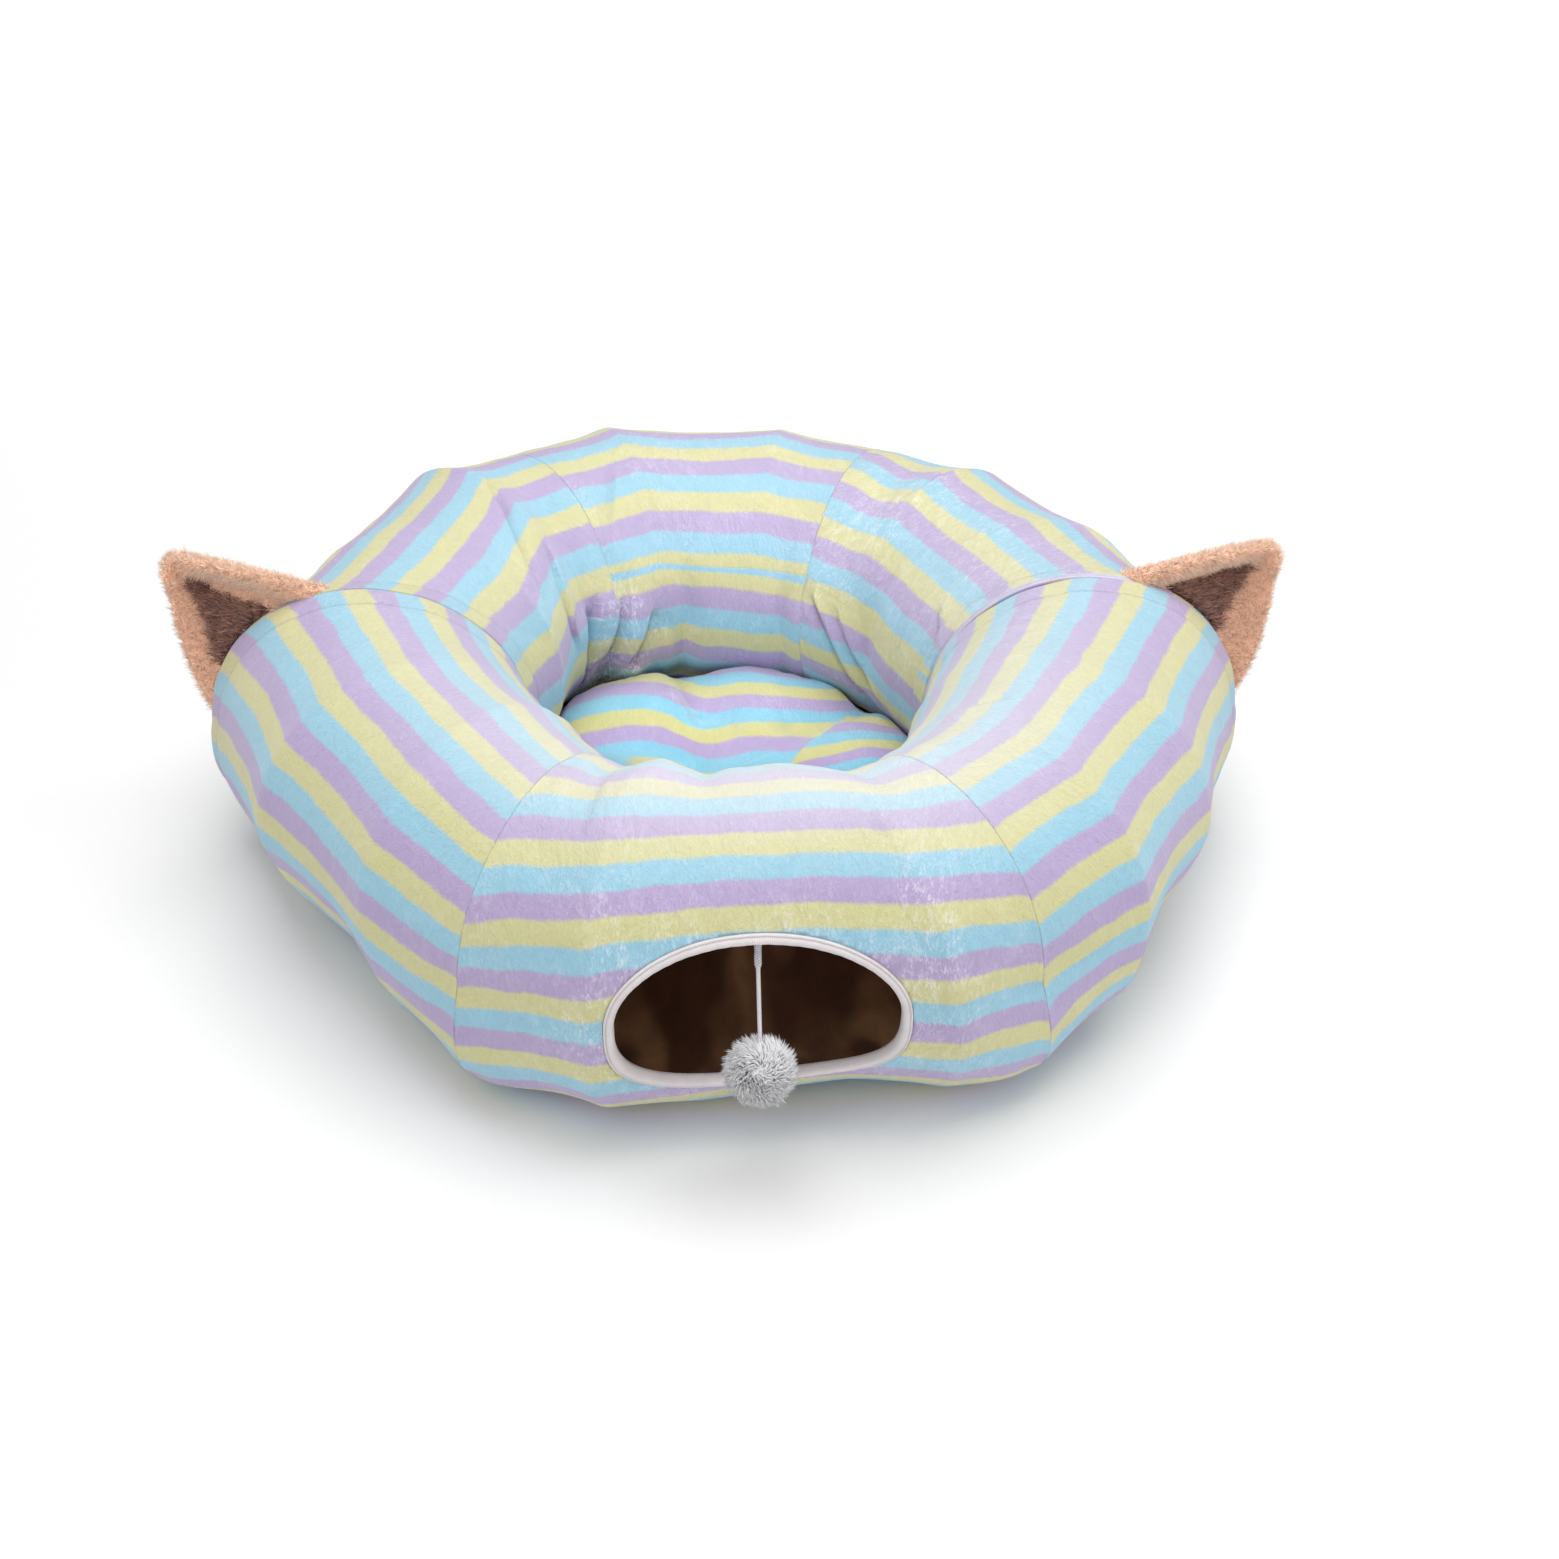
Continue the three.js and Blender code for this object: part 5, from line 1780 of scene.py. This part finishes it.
@dataclass
class Ear:
    """One ear: a padded tan back with a rolled rim, and a dark furry inner face, both with real pile."""

    word: str
    shape: EarShape
    inner_foot: Pair
    inner_tip: Pair
    inner_top: float = 0.74
    inner_sag: float = 0.07
    half_thickness: float = 4.2
    rows: int = 44
    columns: int = 44
    upper_roll: Pair = (30.0, 8.0)
    lower_roll: Pair = (17.0, 4.0)
    inner_lift: float = 5.0
    inner_thickness: float = 2.5
    back_pile: Strands = Strands(length=5.2, width=0.95, bend=0.6, scatter=0.34, segments=1, clump=5.0)
    face_pile: Strands = Strands(length=7.5, width=1.15, bend=0.75, scatter=0.38, segments=2, clump=7.0)
    back_strands: int = 21000
    face_strands: int = 5200

    def pad(self, lower: float, upper: float, rows: int, columns: int, front: object,
            behind: object) -> tuple[Array, Array]:
        """A closed pad between a front and a back face.

        Args:
            lower: lowest row of the pad, as a share of the ear.
            upper: highest row.
            rows: grid steps from foot to tip.
            columns: grid steps across.
            front: gives the front point at a share across and a rise.
            behind: gives the back point.

        Returns:
            Points and quads.
        """
        rise, share = np.meshgrid(np.linspace(lower, upper, rows + 1), np.linspace(0, 1, columns + 1),
                                  indexing="ij")
        points = np.concatenate([front(share, rise).reshape(-1, 3), behind(share, rise).reshape(-1, 3)])
        cell = grid_cells(rows, columns)
        back = (rows + 1) * (columns + 1)
        quads = [cell, cell[:, ::-1] + back]
        i, j = np.arange(rows), np.arange(columns)
        left, right = i * (columns + 1), i * (columns + 1) + columns
        quads.append(np.stack([left, left + back, left + columns + 1 + back, left + columns + 1], -1))
        quads.append(np.stack([right, right + columns + 1, right + columns + 1 + back, right + back], -1))
        quads.append(np.stack([j, j + 1, j + 1 + back, j + back], -1))
        top = rows * (columns + 1) + j
        quads.append(np.stack([top, top + back, top + 1 + back, top + 1], -1))
        faces = np.concatenate(quads)
        return points, faces[:, ::-1] if self.shape.side < 0 else faces

    def furred(self, name: str, points: Array, quads: Array, pile: Strands, count: int,
               material: Material, seed: int) -> Object:
        """Make a pad with its pile as one piece.

        Args:
            name: the piece's name.
            points: the pad's points.
            quads: its faces.
            pile: its strands.
            count: how many strands.
            material: its finish.
            seed: number that picks one pattern.

        Returns:
            The piece.
        """
        roots, normals, _ = scatter_on(points, quads, count, seed)
        turn = math.radians(self.shape.tip_angle)
        tipwards = np.array([self.shape.side * math.cos(turn), 0.0, math.sin(turn)])
        comb = unit(tipwards - normals * (normals @ tipwards)[:, None] + np.array([0.0, 0.0, -0.35]))
        fibres, faces, tones, reach = pile.grow(roots - 0.4 * normals, unit(normals + 0.5 * comb), comb, seed)
        base = len(points)
        listed = quads.tolist() + [[k + base for k in face] for face in faces]
        piece = make_object(name, np.concatenate([points, fibres]), listed, [material])
        add_values(piece, np.concatenate([np.full(base, 0.45), tones]),
                   np.concatenate([np.full(base, 0.35), reach]))
        return piece

    def fullness(self, share: Array, rise: Array, front: bool) -> Array:
        """How far the padded ear stands from its middle layer.

        Args:
            share: place across the ear.
            rise: place from the foot to the tip.
            front: whether this is the front face, whose edges are rolled forwards.

        Returns:
            Distances in millimetres.
        """
        rim = np.minimum(np.minimum(share, 1 - share) * 9.0, (1.0 - rise) * 12.0)
        full = self.half_thickness * (0.35 + 0.65 * np.sqrt(np.clip(rim, 0.0, 1.0)))
        if front:
            width = self.width_at(rise)
            for away, (reach, height) in (((1 - share) * width, self.upper_roll),
                                          (share * width, self.lower_roll)):
                full = full + height * np.sin(np.pi * np.clip(away / reach, 0.0, 1.0)) ** 0.8
        return full

    def width_at(self, rise: Array) -> Array:
        """Width of the ear at a rise, in millimetres."""
        foot = 2.0 * math.sin(math.radians(36.5)) * 124.0
        return foot * (1 - np.clip(rise, 0.0, 1.0)) + 2 * self.shape.tip_half_width * np.clip(rise, 0.0, 1.0)

    def build(self, back: Material, face: Material) -> None:
        """Args:
            back: the finish of the tan outside and its rolled rim.
            face: the finish of the dark inner face.
        """
        half, shape = self.half_thickness, self.shape
        points, quads = self.pad(-0.05, 1.0, self.rows, self.columns,
                                 lambda s, t: shape.point(s, t, self.fullness(s, t, True)),
                                 lambda s, t: shape.point(s, t, -self.fullness(s, t, False)))
        outer = self.furred(f"ear_{self.word}_back_pad", points, quads, self.back_pile, self.back_strands,
                            back, 11 + shape.side)
        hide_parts(f"ear_{self.word}_outer")
        (foot_low, foot_high), (tip_low, tip_high) = self.inner_foot, self.inner_tip

        def narrowed(share: Array, rise: Array) -> Array:
            """Place across the ear of the inner face's own share.

            Args:
                share: place across the inner face.
                rise: place from the foot to the tip.

            Returns:
                Places across the whole ear.
            """
            climb = np.clip(rise / self.inner_top, 0.0, 1.0)
            low = foot_low + (tip_low - foot_low) * climb
            high = foot_high + (tip_high - foot_high) * climb - 4 * self.inner_sag * climb * (1 - climb)
            return low + share * (high - low)

        def inner_lift(share: Array, rise: Array) -> Array:
            """Height of the inner face over the middle layer."""
            rim = np.minimum(np.minimum(share, 1 - share) * 8.0, (self.inner_top - rise) * 14.0)
            return self.inner_lift + self.inner_thickness * np.sqrt(np.clip(rim, 0.0, 1.0))

        points, quads = self.pad(0.0, self.inner_top, 26, 26,
                                 lambda s, t: shape.point(narrowed(s, t), t, inner_lift(s, t)),
                                 lambda s, t: shape.point(narrowed(s, t), t, np.full_like(s, half - 0.6)))
        inner = self.furred(f"ear_{self.word}_face_pad", points, quads, self.face_pile, self.face_strands,
                            face, 31 + shape.side)
        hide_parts(f"ear_{self.word}_inner")
        LOG.info("ear %s: %d and %d faces", self.word, len(outer.data.polygons), len(inner.data.polygons))


@dataclass
class Cushion:
    """The round tufted cushion in the well, one filled body with valleys pulled in from its tuft."""

    radius: float = 206.0
    height: float = 65.0
    top_from: float = 30.0
    clearance: float = 1.2
    steps: int = 200
    tuft: Pair = (-18.0, 22.0)
    tuft_width: float = 30.0
    tuft_depth: float = 16.0
    valley_end: float = 0.45
    rows: Pairs = (
        (0.5, 0), (0.9, 0), (0.985, 8), (1.0, 20), (0.955, 34), (0.87, 47), (0.75, 57), (0.6, 63),
        (0.44, 65), (0.28, 65), (0.13, 65),
    )
    valleys: Table = (
        (188, 13, 26, 0.1), (131, 15, 20, 0.25), (250, 11, 26, 0.1), (310, 12, 26, 0.1),
        (12, 12, 26, 0.1), (75, 11, 26, 0.1), (193, 8, 9, 0.3), (203, -7, 16, 0.6), (232, 12, 30, 0.6),
    )
    dome: float = 5.0
    row_steps: int = 7
    bands: Row = (0.72, 9.7, -1.32, -7.2, 2.5, 11.9, -17.6, 15.8)
    lobe_bands: Row = (0.43, 6.4, -1.61, 26.1, 20.8, -9.3, -69.1, 0.0)
    lobe_line: tuple[Pair, Pair] = ((52.0, 0.0), (106.0, 92.0))

    def well_radius(self, azimuth: Array, height: Array) -> Array:
        """Distance from the middle to the tube's inner wall, for each azimuth and height.

        Args:
            azimuth: angles round the ring.
            height: heights, from low to high.

        Returns:
            One row a height.
        """
        turn = np.where(azimuth > 270.0, azimuth - 360.0, azimuth)
        angles = np.linspace(180.0, 269.0, 60)
        wall = TUBE.point(turn[:, None], angles[None, :], folded=True)
        radius, z = np.hypot(wall[..., 0], wall[..., 1]), wall[..., 2]
        found = np.empty((len(height), len(azimuth)))
        for k in range(len(azimuth)):
            found[:, k] = np.interp(height, z[k, ::-1], radius[k, ::-1])
        return found

    def depth(self, x: Array, y: Array) -> Array:
        """How far the tuft and the valleys pull the top down.

        Args:
            x: positions to the right.
            y: positions to the back.

        Returns:
            Millimetres.
        """
        radius, azimuth = np.hypot(x, y), np.degrees(np.arctan2(x, -y))
        away = np.hypot(x - self.tuft[0], y - self.tuft[1])
        depth = self.tuft_depth * bell(away, self.tuft_width) + 4.0 * bell(away, 9.0)
        for at, drop, width, start in self.valleys:
            turn = np.radians(turn_between(azimuth, at))
            aside = np.where(np.cos(turn) > 0, radius * np.sin(turn), radius)
            reach = smooth_step(radius / self.radius, start, self.valley_end)
            depth = depth + drop * reach * bell(aside, width)
        spokes = np.sin(np.radians(azimuth) * 9.0 + 1.3 * np.sin(np.radians(azimuth) * 4.0))
        return depth + 1.3 * spokes * bell(away - 34.0, 26.0)

    def build(self, material: Material) -> Object:
        """Args:
            material: its finish.

        Returns:
            The cushion.
        """
        shares, heights = (np.array(column, float) for column in zip(*self.rows))
        fine = np.linspace(0, len(shares) - 1, (len(shares) - 1) * self.row_steps + 1)
        index = np.arange(len(shares))
        shares, heights = self.smooth(fine, index, shares), self.smooth(fine, index, heights)
        heights = np.clip(heights, 0.0, self.height)
        azimuths = 360.0 * np.arange(self.steps) / self.steps
        limit = self.well_radius(azimuths, heights)
        limit = np.minimum(limit, np.minimum(np.roll(limit, 2, 1), np.roll(limit, -2, 1))) - self.clearance
        radius = np.minimum(self.radius * shares[:, None], limit)
        turn = np.radians(azimuths)[None, :]
        x, y = radius * np.sin(turn), -radius * np.cos(turn)
        z = np.broadcast_to(heights[:, None], x.shape).copy()
        depth = self.depth(x, y) * smooth_step(z, self.top_from * 0.4, self.top_from * 1.6)
        place = np.stack([x, y, z], -1)
        swell = 0.9 * ripple(place, 70.0, 14) + 0.5 * ripple(place, 26.0, 15)
        z = z - depth * (z / self.height) + swell * smooth_step(z, 6.0, 40.0)
        z = np.clip(z, 0.0, self.height + self.dome)
        centre_top = np.array([[0.0, 0.0, float(self.height - self.depth(np.zeros(1), np.zeros(1))[0])]])
        points = np.concatenate([[[0.0, 0.0, 0.0]], np.stack([x, y, z], -1).reshape(-1, 3), centre_top])
        rows, steps = x.shape
        quads = 1 + tube_cells(rows - 1, steps)
        k = np.arange(steps)
        low = np.stack([np.zeros_like(k), 1 + (k + 1) % steps, 1 + k], -1)
        high = 1 + (rows - 1) * steps
        top = np.stack([np.full_like(k, len(points) - 1), high + k, high + (k + 1) % steps], -1)
        faces = quads.tolist() + low.tolist() + top.tolist()
        piece = make_object("cushion_cover", points, faces, [material])
        corners = np.concatenate([np.array(face) for face in faces])
        main, lobe, edge = self.band_coordinates(points)
        give_values(piece, "stripe", main[corners])
        give_values(piece, "shift", (lobe - main)[corners])
        give_values(piece, "well_seam", edge[corners])
        give_values(piece, "brushed_sheen", np.full(len(corners), 0.3))
        for name in ("crease", "top_highlight"):
            give_values(piece, name, np.zeros(len(corners)))
        give_map(piece, points[corners, 0], points[corners, 1])
        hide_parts("cushion")
        return piece

    @staticmethod
    def smooth(fine: Array, index: Array, values: Array) -> Array:
        """A rounded run through a short column of values.

        Args:
            fine: places to read, as positions in the column.
            index: the column's whole positions.
            values: the column.

        Returns:
            The values at the fine places.
        """
        slopes = np.gradient(values)
        low = np.minimum(fine.astype(int), len(values) - 2)
        t = fine - index[low]
        a, b = values[low], values[low + 1]
        return ((2 * t ** 3 - 3 * t ** 2 + 1) * a + (t ** 3 - 2 * t ** 2 + t) * slopes[low]
                + (-2 * t ** 3 + 3 * t ** 2) * b + (t ** 3 - t ** 2) * slopes[low + 1])

    def band_coordinates(self, points: Array) -> tuple[Array, Array, Array]:
        """Where each point lies in the run of bands, which dip where the cover is drawn in.

        Args:
            points: positions in millimetres.

        Returns:
            Millimetres through the bands of the main part and of the right lobe, and the distance of each
            point beyond the valley between the two.
        """
        x, y = points[:, 0], points[:, 1]
        s, seen = np.clip(x / 100.0, -1.4, 1.5), smooth_step(y, -95.0, 5.0)
        drawn, behind = self.depth(x, y) * seen, np.maximum(y, -15.0)
        runs = []
        for rate, begin, draw, tilt, bow, swing, twist, notch in (self.bands, self.lobe_bands):
            bend = tilt * s + bow * s ** 2 + swing * s ** 3 - notch * bell(x + 16.2, 25.0)
            runs.append(begin - rate * np.maximum(y, 0.0) - np.minimum(y, 0.0) - draw * drawn
                        + twist * s * behind / 100.0 + bend * (0.3 + 0.7 * seen))
        return runs[0], runs[1], self.lobe_edge(x, y)

    def lobe_edge(self, x: Array, y: Array) -> Array:
        """Distance of each place beyond the two valleys that part the right lobe from the rest.

        Args:
            x: positions to the right.
            y: positions to the back.

        Returns:
            Millimetres, less than 0 on the main part.
        """
        (x0, y0), (x1, y1) = self.lobe_line
        length = math.hypot(x1 - x0, y1 - y0)
        return np.minimum(((x - x0) * (y1 - y0) - (y - y0) * (x1 - x0)) / length, 0.259 * x + 0.966 * y)


@dataclass
class Toy:
    """The string that hangs from the top of the hole, and the pompom on it."""

    ball: tuple[float, float, float] = (7.0, -404.0, 97.0)
    lean: float = 19.0
    core: float = 14.0
    flatness: float = 0.93
    ply_radius: float = 0.82
    ply_offset: float = 0.66
    twist: float = 5.2
    braid_length: float = 18.0
    braid_swell: float = 1.1
    steps: int = 190
    ends: int = 3400
    root_radius: float = 16.8
    wound_radius: float = 18.2
    yarn: Strands = Strands(length=8.0, width=1.9, bend=0.35, scatter=0.2, segments=2, sides=3, clump=9.0)

    def route(self) -> Array:
        """Even points along the string's centreline, in millimetres.

        Returns:
            The points from the hole down.
        """
        top = HOLE.z + HOLE.half_height
        azimuth, angle = TUBE.wall(np.array([HOLE.x]), np.array([top]))
        wall = TUBE.point(azimuth, angle)[0]
        start = np.array([HOLE.x, wall[1] + 4.2, top - 0.3])
        lean = math.radians(self.lean)
        up = np.array([0.0, math.sin(lean), math.cos(lean)])
        end = np.array(self.ball) + up * (self.core + 0.3)
        knots = [start, start + np.array([0.0, -2.0, -9.0]), (start + end) / 2 - np.array([0.0, 0.0, 2.0]),
                 end + up * 8.0, end]
        return self.through(knots)

    def through(self, knots: list[Array]) -> Array:
        """A smooth run through the knots, at even steps.

        Args:
            knots: the points to pass.

        Returns:
            The even points.
        """
        ends = [2 * knots[0] - knots[1], *knots, 2 * knots[-1] - knots[-2]]
        found = []
        for k in range(len(knots) - 1):
            a, b, c, d = ends[k:k + 4]
            t = np.linspace(0.0, 1.0, 60, endpoint=k == len(knots) - 2)[:, None]
            found.append(0.5 * (2 * b + (c - a) * t + (2 * a - 5 * b + 4 * c - d) * t ** 2
                                + (3 * b - a - 3 * c + d) * t ** 3))
        line = np.concatenate(found)
        length = run_length(line)
        even = np.linspace(0.0, length[-1], self.steps)
        return np.stack([np.interp(even, length, line[:, k]) for k in range(3)], -1)

    def build_string(self, material: Material) -> tuple[Object, Array]:
        """Make the twisted string, with its braided head.

        Args:
            material: its finish.

        Returns:
            The string and its centreline.
        """
        line = self.route()
        ahead = unit(np.gradient(line, axis=0))
        side = unit(np.cross(ahead, np.array([1.0, 0.0, 0.0])))
        other = np.cross(ahead, side)
        length = run_length(line)
        swell = 1.0 + self.braid_swell * (1.0 - smooth_step(length, self.braid_length - 3, self.braid_length))
        ring = circle(side, other, 8)
        points, faces = [], []
        for ply in range(3):
            turn = 2.0 * math.pi * (length / self.twist + ply / 3.0)
            offset = (self.ply_offset * swell)[:, None]
            centre = line + offset * (np.cos(turn)[:, None] * side + np.sin(turn)[:, None] * other)
            base = ply * self.steps * 8
            points.append((centre[:, None] + self.ply_radius * swell[:, None, None] ** 0.5 * ring
                           ).reshape(-1, 3))
            faces += (base + tube_cells(self.steps - 1, 8)).tolist()
            faces.append([base + k for k in range(8)][::-1])
            faces.append([base + (self.steps - 1) * 8 + k for k in range(8)])
        piece = make_object("toy_string", np.concatenate(points), faces, [material])
        with edited(piece) as shape:
            bmesh.ops.recalc_face_normals(shape, faces=shape.faces)
        add_values(piece, np.full(len(piece.data.vertices), 0.5), np.full(len(piece.data.vertices), 0.7))
        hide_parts("toy_cord")
        return piece, line

    def build_pompom(self, material: Material) -> Object:
        """Make the pompom: a lumpy wound core and many trimmed ends of yarn.

        Args:
            material: its finish.

        Returns:
            The pompom.
        """
        k = np.arange(self.ends)
        z = 1.0 - (2.0 * k + 1.0) / self.ends
        around = np.sqrt(1.0 - z * z)
        turn = math.pi * (3.0 - math.sqrt(5.0)) * k
        ways = np.stack([around * np.cos(turn), around * np.sin(turn), z], -1)
        lumps = 1.0 + 0.05 * ripple(ways * 25.0, 13.0, 4)
        chance = np.random.default_rng(6)
        comb = unit(np.cross(ways, chance.normal(size=3)) + 0.5 * ripple(ways * 25.0, 20.0, 9)[:, None])
        roots = ways * (self.root_radius * lumps)[:, None]
        strands, faces, tones, reach = self.yarn.grow(roots, ways, comb, 16)
        sphere = bmesh.new()
        bmesh.ops.create_icosphere(sphere, subdivisions=4, radius=self.wound_radius)
        core = np.array([v.co[:] for v in sphere.verts])
        core *= (1.0 + 0.035 * ripple(core, 9.0, 2))[:, None]
        core_faces = [[v.index for v in face.verts] for face in sphere.faces]
        sphere.free()
        shift = len(core)
        shape = np.array([1.0, 1.0, self.flatness])
        points = np.concatenate([core, strands]) * shape + np.array(self.ball)
        listed = core_faces + [[n + shift for n in face] for face in faces]
        piece = make_object("toy_pompom_yarn", points, listed, [material])
        add_values(piece, np.concatenate([np.full(shift, 0.4), tones]),
                   np.concatenate([np.full(shift, 0.3), reach]))
        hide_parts("toy_pompom")
        return piece

    def build(self, string: Material, yarn: Material) -> None:
        """Args:
            string: the string's finish.
            yarn: the pompom's finish.
        """
        cord, line = self.build_string(string)
        pompom = self.build_pompom(yarn)


@dataclass
class Studio:
    """A plain pale floor, soft light and the camera of the picture."""

    elevation: float = 32.2
    azimuth: float = -2.0
    distance: float = 1656.6
    target_height: float = 114.2
    lens: float = 48.47
    shift: Pair = (0.0338, -0.0464)
    floor_size: float = 24.0

    def camera(self) -> None:
        """Place the camera that took the picture."""
        lens = bpy.data.cameras.new("camera")
        lens.lens, lens.sensor_width, lens.sensor_fit = self.lens, 36.0, "HORIZONTAL"
        lens.shift_x, lens.shift_y = self.shift
        lens.clip_end = 60.0
        camera = bpy.data.objects.new("camera", lens)
        rise, turn = math.radians(self.elevation), math.radians(self.azimuth)
        back = Vector((math.sin(turn) * math.cos(rise), -math.cos(turn) * math.cos(rise), math.sin(rise)))
        camera.location = Vector((0.0, 0.0, self.target_height * MM)) + back * self.distance * MM
        camera.rotation_euler = back.to_track_quat("Z", "Y").to_euler()
        show(camera)
        bpy.context.scene.camera = camera

    def light(self, name: str, place: tuple[float, float, float], target: tuple[float, float, float],
              size: float, power: float, spread: float = 180.0) -> None:
        """Hang one soft square light.

        Args:
            name: the light's name.
            place: where it hangs, in metres.
            target: where it points.
            size: its width.
            power: its power in watts.
            spread: the angle that its light fans out to, in degrees.
        """
        lamp = bpy.data.lights.new(name, "AREA")
        lamp.shape, lamp.size, lamp.energy, lamp.spread = "SQUARE", size, power, math.radians(spread)
        holder = bpy.data.objects.new(name, lamp)
        holder.location = place
        holder.rotation_euler = (Vector(place) - Vector(target)).to_track_quat("Z", "Y").to_euler()
        show(holder)

    def floor(self) -> None:
        """Lay the wide flat floor."""
        shape = bmesh.new()
        half = self.floor_size / 2
        corners = ((-half, -half), (half, -half), (half, half), (-half, half))
        shape.faces.new([shape.verts.new((x, y, -0.0002)) for x, y in corners])
        mesh = bpy.data.meshes.new("floor")
        shape.to_mesh(mesh)
        shape.free()
        mesh.polygons.foreach_set("use_smooth", np.ones(len(mesh.polygons), bool))
        material, graph, surface = finish_surface("paper floor")
        place = graph.place()
        grain = graph.noise(place, 300.0, 2.0)
        paper = graph.mix(grain, (0.93, 0.93, 0.93, 1), (0.96, 0.96, 0.96, 1))
        graph.feed(surface.inputs["Base Color"], paper)
        set_constants(surface, Roughness=0.95, Specular_IOR_Level=0.1)
        mesh.materials.append(material)
        floor = bpy.data.objects.new("floor", mesh)
        show(floor)

    def build(self) -> None:
        """Set up the picture."""
        self.camera()
        self.floor()
        middle = (0.0, 0.0, 0.1)
        self.light("overhead", (0.2, 0.1, 2.4), middle, 2.4, 50.0)
        self.light("front", (-1.0, -2.0, 2.6), middle, 2.0, 20.5)
        self.light("right", (3.0, -1.2, 1.2), middle, 1.8, 17.0)
        self.light("well", (0.0, -1.3, 1.9), (0.0, 0.15, 0.044), 0.12, 0.075, spread=10.0)
        self.light("backdrop", (0.0, 3.8, 2.6), (0.0, 3.8, 0.0), 4.4, 62.0, spread=64.0)
        world = bpy.data.worlds.new("studio")
        world.use_nodes = True
        sky = world.node_tree.nodes["Background"]
        sky.inputs["Color"].default_value = (1.0, 1.0, 1.0, 1.0)
        sky.inputs["Strength"].default_value = 0.36
        bpy.context.scene.world = world
        bpy.context.scene.view_settings.view_transform = "Standard"


def main() -> None:
    """Build the picture and every piece of the bed, in order."""
    logging.basicConfig(level=logging.INFO, format="%(name)s: %(message)s")
    Studio().build()
    Toy().build(FurFinish("CCC9CF", "E0DEE4", 0.05, 0.2).build("white string"),
                FurFinish("E2E0E3", "FAF9FB", 0.07, 0.5).build("white yarn"))
    lining = LiningFinish().build("brown lining")
    Tube().build(lining)
    Lining().build(lining)
    HoleBinding().build(TapeFinish("E9E2E3").build("white binding tape"))
    Zips().build(TapeFinish("DCD6EC", rib=1.3).build("lavender zip tape"))
    # Both ear finishes carry a painted glow that lightens them.
    back = FurFinish("E8B797", "FCE0CA", 0.4, 0.35, 0.2).build("tan ear plush")
    face = FurFinish("4E2C26", "BE9080", 0.7, 0.3, 0.08).build("dark ear fur")
    Ear("left", EarShape(-1, 43.5, 197.0), (0.21, 0.67), (0.38, 0.46)).build(back, face)
    Ear("right", EarShape(1, 42.5, 193.0), (0.33, 0.74), (0.46, 0.54)).build(back, face)
    # The cushion's bands are darker copies of the tube's colours, painted shade for the well that it lies in.
    cushion = PlushFinish(cyan="87C4DA", yellow="CDC98A", lilac="B19FC8", on_tube=False)
    Cushion().build(cushion.build("striped cushion plush in painted shade"))
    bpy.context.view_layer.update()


if __name__ == "__main__":
    main()
